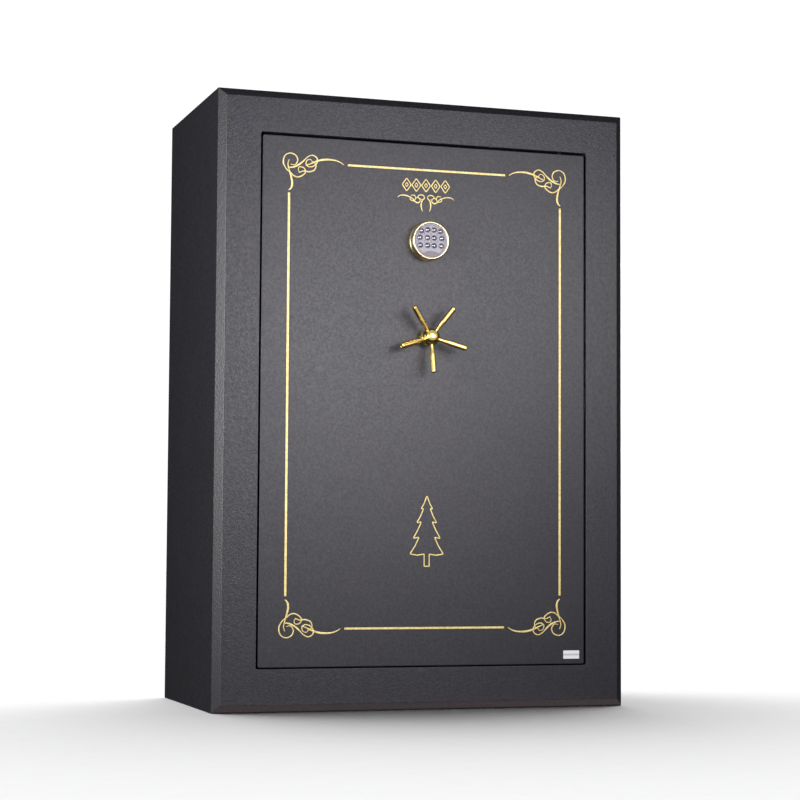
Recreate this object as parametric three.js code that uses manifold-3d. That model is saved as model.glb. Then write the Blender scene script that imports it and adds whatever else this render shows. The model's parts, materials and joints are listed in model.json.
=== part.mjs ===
// Gun safe: a fire-lined steel cabinet with an inset door on internal pin hinges, a round electronic
// keypad, a five-spoke handle and rack-driven locking bolts on three sides of the door.
// Millimetres. X runs across the front, -Y is the front, +Z is up. The origin is the centre of the
// cabinet's underside. The door is shut and the bolts are drawn back.
import * as THREE from 'three';
import { mergeVertices } from 'three/addons/utils/BufferGeometryUtils.js';
import Module from 'manifold-3d';

const wasm = await Module();
wasm.setup();

// ---------------------------------------------------------------- driving dimensions
const WIDTH = 1058;
const DEPTH = 550;
const HEIGHT = 1500;
const BEVEL = 19;            // chamfer round the cabinet's front
const MARGIN = 104;          // face frame round the doorway
const CORNER = 5;            // radius of the doorway's and the door's corners
const GAP = 0.3;             // between pieces that touch
const OVERRUN = 5;           // how far a cutter runs past what it cuts

const SHEET = 4;             // cabinet steel
const BOARD = 26;            // fireboard, two layers
const LINER = 6;             // carpeted lining panels
const JAMB_DEPTH = 45;       // from the face frame to the rear of the jamb

const SIDE_GAP = 5;          // door to doorway
const TOP_GAP = 6;
const BOTTOM_GAP = 3;
const DOOR_RECESS = 2;       // door face behind the cabinet face
const DOOR_PLATE = 6;
const DOOR_BOARD = 24;
const CHASSIS = 3;           // door chassis sheet
const CHASSIS_INSET = 12;    // chassis wall in from the door's edge
const CHASSIS_REAR = 89;     // cabinet face to the chassis's rear edge
const COVER = 6;             // door's inner cover

const HINGE_INSET = 60;      // hinge pin in from the door's right edge
const HINGE_BEHIND = 20;     // hinge pin behind the door's face
const PIN_RADIUS = 8;
const PIN_REACH = 50;        // how far a hinge pin stands into the doorway
const CABLE_HOLE = 5;        // radius

const HANDLE_Z = 909;
const KEYPAD_Z = 1148;

const PITCH_RADIUS = 16;     // handle pinion
const PINION_TEETH = 16;
const PRESSURE_ANGLE = THREE.MathUtils.degToRad(25);
const ADDENDUM = 1.8;
const DEDENDUM = 2.3;
const BACKLASH = 0.35;
const BOLT_RADIUS = 16;
const BEHIND_JAMB = 5;       // from the jamb to the bolts and the fixed bar
const BOLT_TRAVEL = PITCH_RADIUS * Math.PI / 2;

// ---------------------------------------------------------------- places worked out from them
const FRONT = -DEPTH / 2;
const BACK = DEPTH / 2;
const OPEN_X = WIDTH / 2 - MARGIN;
const OPEN_LOW = MARGIN;
const OPEN_HIGH = HEIGHT - MARGIN;
const JAMB_REAR = FRONT + SHEET + JAMB_DEPTH;

const DOOR_X = OPEN_X - SIDE_GAP;
const DOOR_LOW = OPEN_LOW + BOTTOM_GAP;
const DOOR_HIGH = OPEN_HIGH - TOP_GAP;
const DOOR_FACE = FRONT + DOOR_RECESS;
const PLATE_REAR = DOOR_FACE + DOOR_PLATE;
const BOARD_FRONT = PLATE_REAR + GAP;
const WEB_FRONT = BOARD_FRONT + DOOR_BOARD + GAP;
const WEB_REAR = WEB_FRONT + CHASSIS;
const RIM_REAR = FRONT + CHASSIS_REAR;
const RIM_X = DOOR_X - CHASSIS_INSET;
const RIM_LOW = DOOR_LOW + CHASSIS_INSET;
const RIM_HIGH = DOOR_HIGH - CHASSIS_INSET;

const PIN_X = DOOR_X - HINGE_INSET;
const PIN_Y = DOOR_FACE + HINGE_BEHIND;
const PIN_HOLE = PIN_RADIUS + 1;
const HINGE_X0 = PIN_X - 25;  // left and right end of the brackets and leaves
const HINGE_X1 = PIN_X + 25;
const BOLT_Y = JAMB_REAR + BEHIND_JAMB + BOLT_RADIUS;

const WRAP_X = WIDTH / 2 - SHEET - GAP;
const INNER_X = WRAP_X - BOARD;
const INNER_LOW = SHEET + GAP + BOARD;
const INNER_HIGH = HEIGHT - INNER_LOW;
const REAR_SHEET = BACK - SHEET;
const REAR_BOARD = REAR_SHEET - GAP - BOARD;
const ROOM_X = INNER_X - GAP - LINER;
const ROOM_LOW = INNER_LOW + GAP + LINER;
const ROOM_HIGH = INNER_HIGH - GAP - LINER;
const ROOM_BACK = REAR_BOARD - GAP - LINER;
const SHELF_FRONT = -145;
const DIVIDER_X = 95;
const DIVIDER = 18;
const TOP_SHELF_Z = 1180;
const SHELF = 16;

// ---------------------------------------------------------------- finishes
const paint = (color, roughness) => ({ color, roughness, metalness: 0.2 });
const metal = (color, roughness) => ({ color, roughness, metalness: 1 });
const soft = (color) => ({ color, roughness: 0.95, metalness: 0 });
const CHARCOAL = paint(0x5d5c60, 0.55);
const BLACK_PAINT = paint(0x2a2a2d, 0.6);
const STEEL = metal(0xb4b6b8, 0.35);
const CHROME = metal(0xd2d4d6, 0.15);
const GOLD = metal(0xd9b24a, 0.18);
const SILVER = { color: 0xb9b8bd, roughness: 0.4, metalness: 0.4 };
const GYPSUM = soft(0xd8d2c6);
const CARPET = soft(0x4a4a4d);
const SEAL = soft(0x1c1c1d);

// ---------------------------------------------------------------- geometry helpers
function toSolid(geometry) {
  const bare = geometry.clone();
  bare.deleteAttribute('normal');
  bare.deleteAttribute('uv');
  const merged = mergeVertices(bare, 1e-4);
  return new wasm.Manifold(new wasm.Mesh({
    numProp: 3,
    vertProperties: Float32Array.from(merged.attributes.position.array),
    triVerts: Uint32Array.from(merged.index.array),
  }));
}

function toGeometry(solid) {
  const mesh = solid.getMesh();
  const geometry = new THREE.BufferGeometry();
  geometry.setAttribute('position', new THREE.BufferAttribute(Float32Array.from(mesh.vertProperties), 3));
  geometry.setIndex(new THREE.BufferAttribute(Uint32Array.from(mesh.triVerts), 1));
  geometry.computeVertexNormals();
  return geometry;
}

const join = (first, ...others) => toGeometry(others.reduce((a, b) => a.add(toSolid(b)), toSolid(first)));
const cut = (first, ...others) => toGeometry(others.reduce((a, b) => a.subtract(toSolid(b)), toSolid(first)));

// A block between two corners.
function block(x0, x1, y0, y1, z0, z1) {
  return new THREE.BoxGeometry(x1 - x0, y1 - y0, z1 - z0)
    .translate((x0 + x1) / 2, (y0 + y1) / 2, (z0 + z1) / 2);
}

// A round bar along 'x', 'y' or 'z', centred on (a, b) in the other two axes, from low to high.
function bar(along, a, b, radius, low, high, sides = 24) {
  const rod = new THREE.CylinderGeometry(radius, radius, high - low, sides);
  const middle = (low + high) / 2;
  if (along === 'x') return rod.rotateZ(Math.PI / 2).translate(middle, a, b);
  if (along === 'y') return rod.translate(a, middle, b);
  return rod.rotateX(Math.PI / 2).translate(a, b, middle);
}

// An outline in (x, z), given thickness backwards from yFront.
function plate(shape, yFront, thickness, curveSegments = 6) {
  return new THREE.ExtrudeGeometry(shape, { depth: thickness, bevelEnabled: false, curveSegments })
    .rotateX(Math.PI / 2)
    .translate(0, yFront + thickness, 0);
}

function rectangle(x0, x1, z0, z1, radius = 0) {
  const shape = new THREE.Shape();
  if (radius === 0) {
    shape.moveTo(x0, z0).lineTo(x1, z0).lineTo(x1, z1).lineTo(x0, z1).closePath();
    return shape;
  }
  shape.absarc(x1 - radius, z0 + radius, radius, -Math.PI / 2, 0);
  shape.absarc(x1 - radius, z1 - radius, radius, 0, Math.PI / 2);
  shape.absarc(x0 + radius, z1 - radius, radius, Math.PI / 2, Math.PI);
  shape.absarc(x0 + radius, z0 + radius, radius, Math.PI, 1.5 * Math.PI);
  shape.closePath();
  return shape;
}

// A flat ring between two rectangles in (x, z).
function frame(outer, inner, yFront, thickness) {
  outer.holes.push(inner);
  return plate(outer, yFront, thickness);
}

// A profile of (radius, y) points turned about the Y axis through (x, z).
function turned(profile, x, z, segments = 32) {
  const points = profile.map(([radius, y]) => new THREE.Vector2(radius, y));
  return new THREE.LatheGeometry(points, segments).translate(x, 0, z);
}

const safe = new THREE.Group();

function add(name, geometry, finish) {
  const mesh = new THREE.Mesh(geometry, new THREE.MeshStandardMaterial(finish));
  mesh.name = name;
  safe.add(mesh);
  return mesh;
}

// ---------------------------------------------------------------- cabinet
// A box with its front edges chamfered, running straight back past the rear.
function chamferedBox(inset, chamfer, yFront, yBack) {
  const halfX = WIDTH / 2 - inset - chamfer;
  const shape = rectangle(-halfX, halfX, inset + chamfer, HEIGHT - inset - chamfer);
  return new THREE.ExtrudeGeometry(shape, {
    depth: yBack - yFront - chamfer,
    bevelThickness: chamfer,
    bevelSize: chamfer,
    bevelSegments: 1,
  }).rotateX(Math.PI / 2).translate(0, yBack, 0);
}

function bodyShell() {
  const innerChamfer = BEVEL - SHEET * (2 - Math.SQRT2);
  const outside = chamferedBox(0, BEVEL, FRONT, BACK);
  const inside = chamferedBox(SHEET, innerChamfer, FRONT + SHEET, BACK + OVERRUN);
  const doorway = plate(
    rectangle(-OPEN_X, OPEN_X, OPEN_LOW, OPEN_HIGH, CORNER), FRONT - OVERRUN, SHEET + 2 * OVERRUN);
  const behind = block(-WIDTH, WIDTH, BACK, BACK + 2 * BEVEL, -OVERRUN, HEIGHT + OVERRUN);
  return cut(outside, inside, doorway, behind);
}

function doorJamb() {
  const front = FRONT + SHEET + GAP;
  const outer = OPEN_X + SHEET;
  const low = OPEN_LOW - SHEET;
  const high = OPEN_HIGH + SHEET;
  const reveal = frame(
    rectangle(-outer, outer, low, high, CORNER),
    rectangle(-OPEN_X, OPEN_X, OPEN_LOW, OPEN_HIGH, CORNER), front, JAMB_REAR - front);
  const flange = frame(
    rectangle(-WRAP_X, WRAP_X, SHEET + GAP, HEIGHT - SHEET - GAP),
    rectangle(-OPEN_X, OPEN_X, OPEN_LOW, OPEN_HIGH, CORNER), JAMB_REAR - SHEET, SHEET);
  const pinHole = bar('z', PIN_X, PIN_Y, PIN_HOLE, -OVERRUN, HEIGHT + OVERRUN);
  return cut(join(reveal, flange), pinHole);
}

function hingeBracket(side) {
  const height = 30;
  const near = side > 0 ? OPEN_HIGH + SHEET + GAP : OPEN_LOW - SHEET - GAP - height;
  const foot = block(HINGE_X0, HINGE_X1, FRONT + SHEET + GAP, JAMB_REAR - SHEET - GAP, near, near + height);
  const tip = side > 0 ? OPEN_HIGH - PIN_REACH : OPEN_LOW + PIN_REACH;
  const middle = near + height / 2;
  const pin = bar('z', PIN_X, PIN_Y, PIN_RADIUS, Math.min(tip, middle), Math.max(tip, middle));
  return join(foot, pin);
}

function buildCabinet() {
  add('body_shell', bodyShell(), CHARCOAL);
  add('back_panel', block(-WRAP_X, WRAP_X, REAR_SHEET, BACK, SHEET + GAP, HEIGHT - SHEET - GAP), BLACK_PAINT);
  add('door_jamb', doorJamb(), CHARCOAL);
  add('hinge_bracket_upper', hingeBracket(1), STEEL);
  add('hinge_bracket_lower', hingeBracket(-1), STEEL);
  const boardFront = JAMB_REAR + GAP;
  add('body_fireboard', frame(
    rectangle(-WRAP_X, WRAP_X, SHEET + GAP, HEIGHT - SHEET - GAP),
    rectangle(-INNER_X, INNER_X, INNER_LOW, INNER_HIGH),
    boardFront, REAR_SHEET - GAP - boardFront), GYPSUM);
  const x = INNER_X - GAP;
  add('rear_fireboard', block(-x, x, REAR_BOARD, REAR_SHEET - GAP, INNER_LOW + GAP, INNER_HIGH - GAP), GYPSUM);

  const y1 = REAR_BOARD - GAP;
  add('liner_floor', block(-x, x, boardFront, y1, INNER_LOW + GAP, ROOM_LOW), CARPET);
  add('liner_top', block(-x, x, boardFront, y1, ROOM_HIGH, INNER_HIGH - GAP), CARPET);
  add('liner_left', block(-x, -ROOM_X, boardFront, y1, ROOM_LOW + GAP, ROOM_HIGH - GAP), CARPET);
  add('liner_right', block(ROOM_X, x, boardFront, y1, ROOM_LOW + GAP, ROOM_HIGH - GAP), CARPET);
  const room = ROOM_X - GAP;
  add('liner_back', block(-room, room, ROOM_BACK, y1, ROOM_LOW + GAP, ROOM_HIGH - GAP), CARPET);
}

// ---------------------------------------------------------------- interior fittings
const RACK_Z = 985;
const RACK_FRONT = 148;
const NOTCHES = 8;
const NOTCH_PITCH = 70;
const NOTCH_FIRST = -445;
const NOTCH_RADIUS = 16;
const NOTCH_DEPTH = 40;
const RACK_THICK = 20;
const SHELF_LOWER = 320;
const SHELF_MIDDLE = 600;
const SHELF_UPPER = 890;

function barrelRack(x0, x1, y1) {
  const board = block(x0, x1, RACK_FRONT, y1, RACK_Z, RACK_Z + RACK_THICK);
  const low = RACK_Z - OVERRUN;
  const high = RACK_Z + RACK_THICK + OVERRUN;
  const slots = [];
  for (let i = 0; i < NOTCHES; i += 1) {
    const x = NOTCH_FIRST + i * NOTCH_PITCH;
    const bottom = RACK_FRONT + NOTCH_DEPTH - NOTCH_RADIUS;
    slots.push(block(x - NOTCH_RADIUS, x + NOTCH_RADIUS, RACK_FRONT - OVERRUN, bottom, low, high));
    slots.push(bar('z', x, bottom, NOTCH_RADIUS, low, high, 16));
  }
  return cut(board, ...slots);
}

function buildInterior() {
  const x = ROOM_X - GAP;
  const y = ROOM_BACK - GAP;
  const shelf = (x0, x1, z, thick) => block(x0, x1, SHELF_FRONT, y, z, z + thick);
  add('top_shelf', shelf(-x, x, TOP_SHELF_Z, DIVIDER), CARPET);
  add('centre_divider', block(DIVIDER_X, DIVIDER_X + DIVIDER, SHELF_FRONT, y,
    ROOM_LOW + GAP, TOP_SHELF_Z - GAP), CARPET);
  const bays = { lower: SHELF_LOWER, middle: SHELF_MIDDLE, upper: SHELF_UPPER };
  for (const [place, z] of Object.entries(bays)) {
    add(`side_shelf_${place}`, shelf(DIVIDER_X + DIVIDER + GAP, x, z, SHELF), CARPET);
  }
  add('barrel_rack', barrelRack(-x, DIVIDER_X - GAP, y), CARPET);
}

// ---------------------------------------------------------------- door
const SPINDLE_RADIUS = 9.5;
const SPINDLE_HOLE = 10.5;
const LOCK_X = 14;           // left face of the lock case
const LOCK_WIDTH = 62;
const LOCK_LOW = 1106;
const LOCK_HEIGHT = 85;
const CABLE_X = LOCK_X + 20;  // where the keypad's cable meets the lock
const LEFT_BOLT_Z = [250, 580, 910, 1240];
const END_BOLT_X = [-200, 0, 200];
const DEAD_BAR_LOW = 200;    // fixed bar on the hinge side
const DEAD_BAR_HIGH = 1300;
const DEAD_BAR_REACH = 22;   // past the door's edge, behind the jamb
const DEAD_BAR_DEPTH = 26;

function doorPlate() {
  const whole = plate(rectangle(-DOOR_X, DOOR_X, DOOR_LOW, DOOR_HIGH, CORNER), DOOR_FACE, DOOR_PLATE);
  const spindle = bar('y', 0, HANDLE_Z, SPINDLE_HOLE, DOOR_FACE - OVERRUN, PLATE_REAR + OVERRUN);
  const cable = bar('y', 0, KEYPAD_Z, CABLE_HOLE, DOOR_FACE - OVERRUN, PLATE_REAR + OVERRUN, 16);
  return cut(whole, spindle, cable);
}

// An H section all round: the web carries the boltwork, the rim encloses board and boltwork.
function doorChassis() {
  const rim = frame(
    rectangle(-RIM_X, RIM_X, RIM_LOW, RIM_HIGH),
    rectangle(-RIM_X + CHASSIS, RIM_X - CHASSIS, RIM_LOW + CHASSIS, RIM_HIGH - CHASSIS),
    BOARD_FRONT, RIM_REAR - BOARD_FRONT);
  const web = block(-RIM_X + 1, RIM_X - 1, WEB_FRONT, WEB_REAR, RIM_LOW + 1, RIM_HIGH - 1);
  const through = [WEB_FRONT - OVERRUN, WEB_REAR + OVERRUN];
  const low = [RIM_LOW - OVERRUN, RIM_LOW + CHASSIS + OVERRUN];
  const high = [RIM_HIGH - CHASSIS - OVERRUN, RIM_HIGH + OVERRUN];
  const left = [-RIM_X - OVERRUN, -RIM_X + CHASSIS + OVERRUN];
  const hole = BOLT_RADIUS + 0.7;
  const holes = [
    bar('y', 0, HANDLE_Z, SPINDLE_HOLE, ...through),
    bar('y', CABLE_X, KEYPAD_Z, CABLE_HOLE, ...through, 16),
    bar('z', PIN_X, PIN_Y, PIN_HOLE, ...low),
    bar('z', PIN_X, PIN_Y, PIN_HOLE, ...high),
    ...LEFT_BOLT_Z.map((z) => bar('x', BOLT_Y, z, hole, ...left)),
    ...END_BOLT_X.map((x) => bar('z', x, BOLT_Y, hole, ...low)),
    ...END_BOLT_X.map((x) => bar('z', x, BOLT_Y, hole, ...high)),
  ];
  return cut(join(rim, web), ...holes);
}

const LEAF_HEIGHT = 40;

function leafBlock(side, grow) {
  const near = side > 0 ? RIM_HIGH - CHASSIS - GAP : RIM_LOW + CHASSIS + GAP;
  const far = near - side * LEAF_HEIGHT;
  return block(HINGE_X0 - grow, HINGE_X1 + grow, BOARD_FRONT - grow, WEB_FRONT - GAP + grow,
    Math.min(near, far) - grow, Math.max(near, far) + grow);
}

function hingeLeaf(side) {
  const tip = side > 0 ? OPEN_HIGH - PIN_REACH : OPEN_LOW + PIN_REACH;
  const low = side > 0 ? tip - 1 : RIM_LOW;
  const high = side > 0 ? RIM_HIGH : tip + 1;
  return cut(leafBlock(side, 0), bar('z', PIN_X, PIN_Y, PIN_RADIUS + GAP, low, high));
}

const HARD_PLATE = { x: 85, z0: 850, z1: 1240, thick: 5 };
const STRIP_THICK = 2;       // fire seal
const STRIP_WIDTH = 12;

function doorBoard() {
  const x = RIM_X - CHASSIS - GAP;
  const low = RIM_LOW + CHASSIS + GAP;
  const high = RIM_HIGH - CHASSIS - GAP;
  const board = block(-x, x, BOARD_FRONT, WEB_FRONT - GAP, low, high);
  const { x: half, z0, z1, thick } = HARD_PLATE;
  const front = BOARD_FRONT - OVERRUN;
  const pocket = block(-half - GAP, half + GAP, front, BOARD_FRONT + thick + GAP, z0 - GAP, z1 + GAP);
  const spindle = bar('y', 0, HANDLE_Z, SPINDLE_HOLE, front, WEB_FRONT + OVERRUN);
  const cable = bar('y', CABLE_X, KEYPAD_Z, CABLE_HOLE, front, WEB_FRONT + OVERRUN, 16);
  return cut(board, pocket, spindle, cable, leafBlock(1, GAP), leafBlock(-1, GAP));
}

function hardPlate() {
  const { x, z0, z1, thick } = HARD_PLATE;
  const whole = block(-x, x, BOARD_FRONT, BOARD_FRONT + thick, z0, z1);
  const through = [BOARD_FRONT - OVERRUN, BOARD_FRONT + thick + OVERRUN];
  const spindle = bar('y', 0, HANDLE_Z, SPINDLE_HOLE, ...through);
  const cable = bar('y', CABLE_X, KEYPAD_Z, CABLE_HOLE, ...through, 16);
  return cut(whole, spindle, cable);
}

function buildDoor() {
  add('door_plate', doorPlate(), CHARCOAL);
  add('door_chassis', doorChassis(), BLACK_PAINT);
  add('door_fireboard', doorBoard(), GYPSUM);
  add('hard_plate', hardPlate(), STEEL);
  add('hinge_leaf_upper', hingeLeaf(1), STEEL);
  add('hinge_leaf_lower', hingeLeaf(-1), STEEL);
  add('door_inner_cover', block(-RIM_X, RIM_X, RIM_REAR + GAP, RIM_REAR + GAP + COVER,
    RIM_LOW, RIM_HIGH), CARPET);
  const near = RIM_X + GAP;
  const far = near + STRIP_THICK;
  const above = GAP + STRIP_THICK;
  add('fire_seal', frame(
    rectangle(-far, far, RIM_LOW - above, RIM_HIGH + above),
    rectangle(-near, near, RIM_LOW - GAP, RIM_HIGH + GAP),
    PIN_Y + PIN_RADIUS + 2, STRIP_WIDTH), SEAL);
  const deadFront = JAMB_REAR + BEHIND_JAMB;
  add('fixed_bolt_bar', block(near, DOOR_X + DEAD_BAR_REACH, deadFront, deadFront + DEAD_BAR_DEPTH,
    DEAD_BAR_LOW, DEAD_BAR_HIGH), CHROME);
  buildLock();
}

// ---------------------------------------------------------------- lock
const LOCK_BOLT = {
  y0: WEB_REAR + 2, y1: WEB_REAR + 10, z0: KEYPAD_Z - 6, z1: KEYPAD_Z + 6, reach: 38,
};
const LOCK_DEPTH = 25;
const LOCK_TRAVEL = 10;
const LOCK_PROUD = 2;
const BESIDE_LOCK = 5;       // from the top carrier to the lock case

function buildLock() {
  const { y0, y1, z0, z1 } = LOCK_BOLT;
  const rear = WEB_REAR + LOCK_DEPTH;
  const body = block(LOCK_X, LOCK_X + LOCK_WIDTH, WEB_REAR + GAP, rear, LOCK_LOW, LOCK_LOW + LOCK_HEIGHT);
  const pocketEnd = LOCK_X + LOCK_BOLT.reach + 2;
  const pocket = block(LOCK_X - OVERRUN, pocketEnd, y0 - GAP, y1 + GAP, z0 - GAP, z1 + GAP);
  add('lock_body', cut(body, pocket), STEEL);
  add('lock_bolt', block(LOCK_X - LOCK_PROUD, LOCK_X + LOCK_BOLT.reach, y0, y1, z0, z1), GOLD);
}

// ---------------------------------------------------------------- pinion and racks
const PITCH = Math.PI * 2 * PITCH_RADIUS / PINION_TEETH;
const TOOTH = PITCH / 2 - BACKLASH;
const RACK = 7;
const NEAR_RACK = WEB_REAR + 1;           // vertical racks
const FAR_RACK = NEAR_RACK + RACK + 2;    // cross rack, behind the vertical ones
const RACK_BACK = 15;                     // pitch line to the back of a rack

// Involute tooth half angle at a radius, for the stated tooth thickness on the pitch circle.
function toothHalfAngle(radius) {
  const base = PITCH_RADIUS * Math.cos(PRESSURE_ANGLE);
  const involute = (angle) => Math.tan(angle) - angle;
  const at = Math.acos(Math.min(1, base / radius));
  return TOOTH / (2 * PITCH_RADIUS) + involute(PRESSURE_ANGLE) - involute(at);
}

function pinionShape() {
  const root = PITCH_RADIUS - DEDENDUM;
  const tip = PITCH_RADIUS + ADDENDUM;
  const radii = [root, root + 1.2, PITCH_RADIUS - 0.3, PITCH_RADIUS + 0.8, tip];
  const points = [];
  for (let tooth = 0; tooth < PINION_TEETH; tooth += 1) {
    const middle = tooth * 2 * Math.PI / PINION_TEETH;
    const flank = (radius, side) => {
      const angle = middle + side * toothHalfAngle(radius);
      points.push(new THREE.Vector2(radius * Math.cos(angle), HANDLE_Z + radius * Math.sin(angle)));
    };
    radii.forEach((radius) => flank(radius, -1));
    [...radii].reverse().forEach((radius) => flank(radius, 1));
  }
  return new THREE.Shape(points);
}

// A toothed strip: u runs along the pitch line, v is up from it, teeth between u0 and u1.
function rackShape(u0, u1, place) {
  const slope = Math.tan(PRESSURE_ANGLE);
  const rootHalf = TOOTH / 2 + DEDENDUM * slope;
  const tipHalf = TOOTH / 2 - ADDENDUM * slope;
  const outline = [[u0, -DEDENDUM]];
  for (let k = Math.ceil((u0 + rootHalf) / PITCH - 0.5); (k + 0.5) * PITCH + rootHalf < u1; k += 1) {
    const middle = (k + 0.5) * PITCH;
    outline.push([middle - rootHalf, -DEDENDUM], [middle - tipHalf, ADDENDUM]);
    outline.push([middle + tipHalf, ADDENDUM], [middle + rootHalf, -DEDENDUM]);
  }
  outline.push([u1, -DEDENDUM], [u1, -RACK_BACK], [u0, -RACK_BACK]);
  return new THREE.Shape(outline.map(([u, v]) => new THREE.Vector2(...place(u, v))));
}

// ---------------------------------------------------------------- locking bolts
const BAR_REAR = BOLT_Y + BOLT_RADIUS;
const CLEAR = BOLT_TRAVEL + 1.2;          // room a bar needs before it meets the rim
const ANGLE = 5;                          // thickness of the end bars
const END_BAR_X = 250;                    // half length of the end bars
const END_BAR_HEIGHT = 45;
const CARRIER = { thick: 8, half: 18, low: 170, high: 1320 };
const LONG_RACK = 45;                     // half length of the cross rack
const SHORT_RACK = 36;                    // half length of the vertical racks
const FOOT_HEIGHT = 22;                   // where the rack arm meets the left carrier
const FOOT_LENGTH = 30;

function buildLeftBolts() {
  const x0 = -RIM_X + CHASSIS + CLEAR;
  const { thick, half, low, high } = CARRIER;
  const carrier = block(x0, x0 + thick, BOLT_Y - half, BOLT_Y + half, low, high);
  const rack = rackShape(-LONG_RACK, LONG_RACK, (u, v) => [u, HANDLE_Z - PITCH_RADIUS + v]);
  const strip = plate(rack, FAR_RACK, RACK);
  const armTop = HANDLE_Z - PITCH_RADIUS - DEDENDUM;
  const armLow = armTop + DEDENDUM - RACK_BACK;
  const arm = block(x0 + 1, 1 - LONG_RACK, FAR_RACK, FAR_RACK + RACK, armLow, armTop);
  const foot = block(x0 + 1, x0 + FOOT_LENGTH, BOLT_Y - half, FAR_RACK + RACK, armTop - FOOT_HEIGHT, armTop);
  add('left_bolt_bar', join(carrier, foot, arm, strip), STEEL);
  LEFT_BOLT_Z.forEach((z, i) => {
    add(`left_bolt_${i + 1}`, boltAlongX(z, -DOOR_X + 2, x0 - GAP), CHROME);
  });
}

// A bolt with a small chamfer on its free end.
function boltAlongX(z, tip, root) {
  const edge = 2;
  const profile = [[0, 0], [BOLT_RADIUS - edge, 0], [BOLT_RADIUS, edge], [BOLT_RADIUS, root - tip], [0, root - tip]];
  return turned(profile, 0, 0, 24).rotateZ(-Math.PI / 2).translate(tip, BOLT_Y, z);
}

// side is 1 for the bar at the top of the door, -1 for the one at the bottom.
function endBoltBar(side) {
  const rimInner = side > 0 ? RIM_HIGH - CHASSIS : RIM_LOW + CHASSIS;
  const face = rimInner - side * CLEAR;
  const tip = side > 0 ? DOOR_HIGH - 2 : DOOR_LOW + 2;
  const span = (a, b) => [Math.min(a, b), Math.max(a, b)];
  const leg = block(-END_BAR_X, END_BAR_X, NEAR_RACK, BAR_REAR, ...span(face - side * ANGLE, face));
  const web = block(-END_BAR_X, END_BAR_X, NEAR_RACK, NEAR_RACK + ANGLE,
    ...span(face - side * END_BAR_HEIGHT, face));
  const bolts = END_BOLT_X.map((x) => bar('z', x, BOLT_Y, BOLT_RADIUS, ...span(face - side * 2, tip)));
  const edge = -side * PITCH_RADIUS;
  const rack = rackShape(-SHORT_RACK, SHORT_RACK, (u, v) => [edge + side * v, HANDLE_Z + u]);
  const strip = plate(rack, NEAR_RACK, RACK);
  const outer = edge - side * RACK_BACK;
  const inner = edge - side * DEDENDUM;
  const joint = HANDLE_Z + side * (SHORT_RACK - 1);
  const rod = block(...span(outer, inner), NEAR_RACK, NEAR_RACK + RACK,
    ...span(joint, face - side * (END_BAR_HEIGHT - ANGLE)));
  return join(leg, web, ...bolts, strip, rod);
}

function buildEndBolts() {
  const wideRight = LOCK_X - BESIDE_LOCK;
  const wideLow = HANDLE_Z + PITCH_RADIUS + ADDENDUM + 6;
  const wide = block(-PITCH_RADIUS - RACK_BACK, wideRight, NEAR_RACK, NEAR_RACK + RACK,
    wideLow, CARRIER.high);
  const notches = [0, -BOLT_TRAVEL].map((shift) => block(
    wideRight - LOCK_TRAVEL, wideRight + OVERRUN, NEAR_RACK - OVERRUN, NEAR_RACK + RACK + OVERRUN,
    LOCK_BOLT.z0 - 1 + shift, LOCK_BOLT.z1 + 1 + shift));
  add('top_bolt_bar', cut(join(endBoltBar(1), wide), ...notches), STEEL);
  add('bottom_bolt_bar', endBoltBar(-1), STEEL);
}

// ---------------------------------------------------------------- handle
const BALL_RADIUS = 21;
const BALL_Y = DOOR_FACE - 35;
const COLLAR_FRONT = DOOR_FACE - 12;
const SPOKES = 5;
const SPOKE_LENGTH = 90;
const SPOKE_CONE = THREE.MathUtils.degToRad(13.5);

function handleCollar() {
  const y = DOOR_FACE - GAP;
  return turned([
    [SPINDLE_HOLE, COLLAR_FRONT], [15.5, COLLAR_FRONT], [15.5, y - 7], [18, y - 4], [18, y], [SPINDLE_HOLE, y],
    [SPINDLE_HOLE, COLLAR_FRONT],
  ], 0, HANDLE_Z);
}

function handleHub() {
  const neck = 13;
  const neckBack = COLLAR_FRONT - GAP;
  const socketEnd = BALL_Y + 2;
  const bore = SPINDLE_RADIUS + GAP;
  const reach = Math.PI - Math.asin(neck / BALL_RADIUS);
  const profile = [[0, BALL_Y - BALL_RADIUS]];
  const steps = 9;
  for (let i = 1; i <= steps; i += 1) {
    const angle = reach * i / steps;
    profile.push([BALL_RADIUS * Math.sin(angle), BALL_Y - BALL_RADIUS * Math.cos(angle)]);
  }
  profile.push([neck, neckBack], [bore, neckBack], [bore, socketEnd], [0, socketEnd]);
  return turned(profile, 0, HANDLE_Z);
}

// Each spoke flares from a slim neck at the ball to a parallel grip.
function handleSpoke() {
  const thin = 4.3;
  const grip = 6.8;
  const profile = [
    [0, 5], [thin, 5], [thin, 26], [5.6, 40], [grip, 50],
    [grip, SPOKE_LENGTH - 1.2], [grip - 1.2, SPOKE_LENGTH], [0, SPOKE_LENGTH],
  ];
  const spoke = turned(profile, 0, 0, 16);
  return cut(spoke, new THREE.SphereGeometry(BALL_RADIUS + GAP, 24, 16));
}

// The spindle and its pinion turn as one piece.
function handleSpindle() {
  const front = BALL_Y + 2 + GAP;
  const pinionFront = WEB_REAR + 0.5;
  const pinionRear = FAR_RACK + RACK + 0.5;
  const end = RIM_REAR - 8;
  const shaft = bar('y', 0, HANDLE_Z, SPINDLE_RADIUS, front, end);
  return join(shaft, plate(pinionShape(), pinionFront, pinionRear - pinionFront));
}

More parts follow.
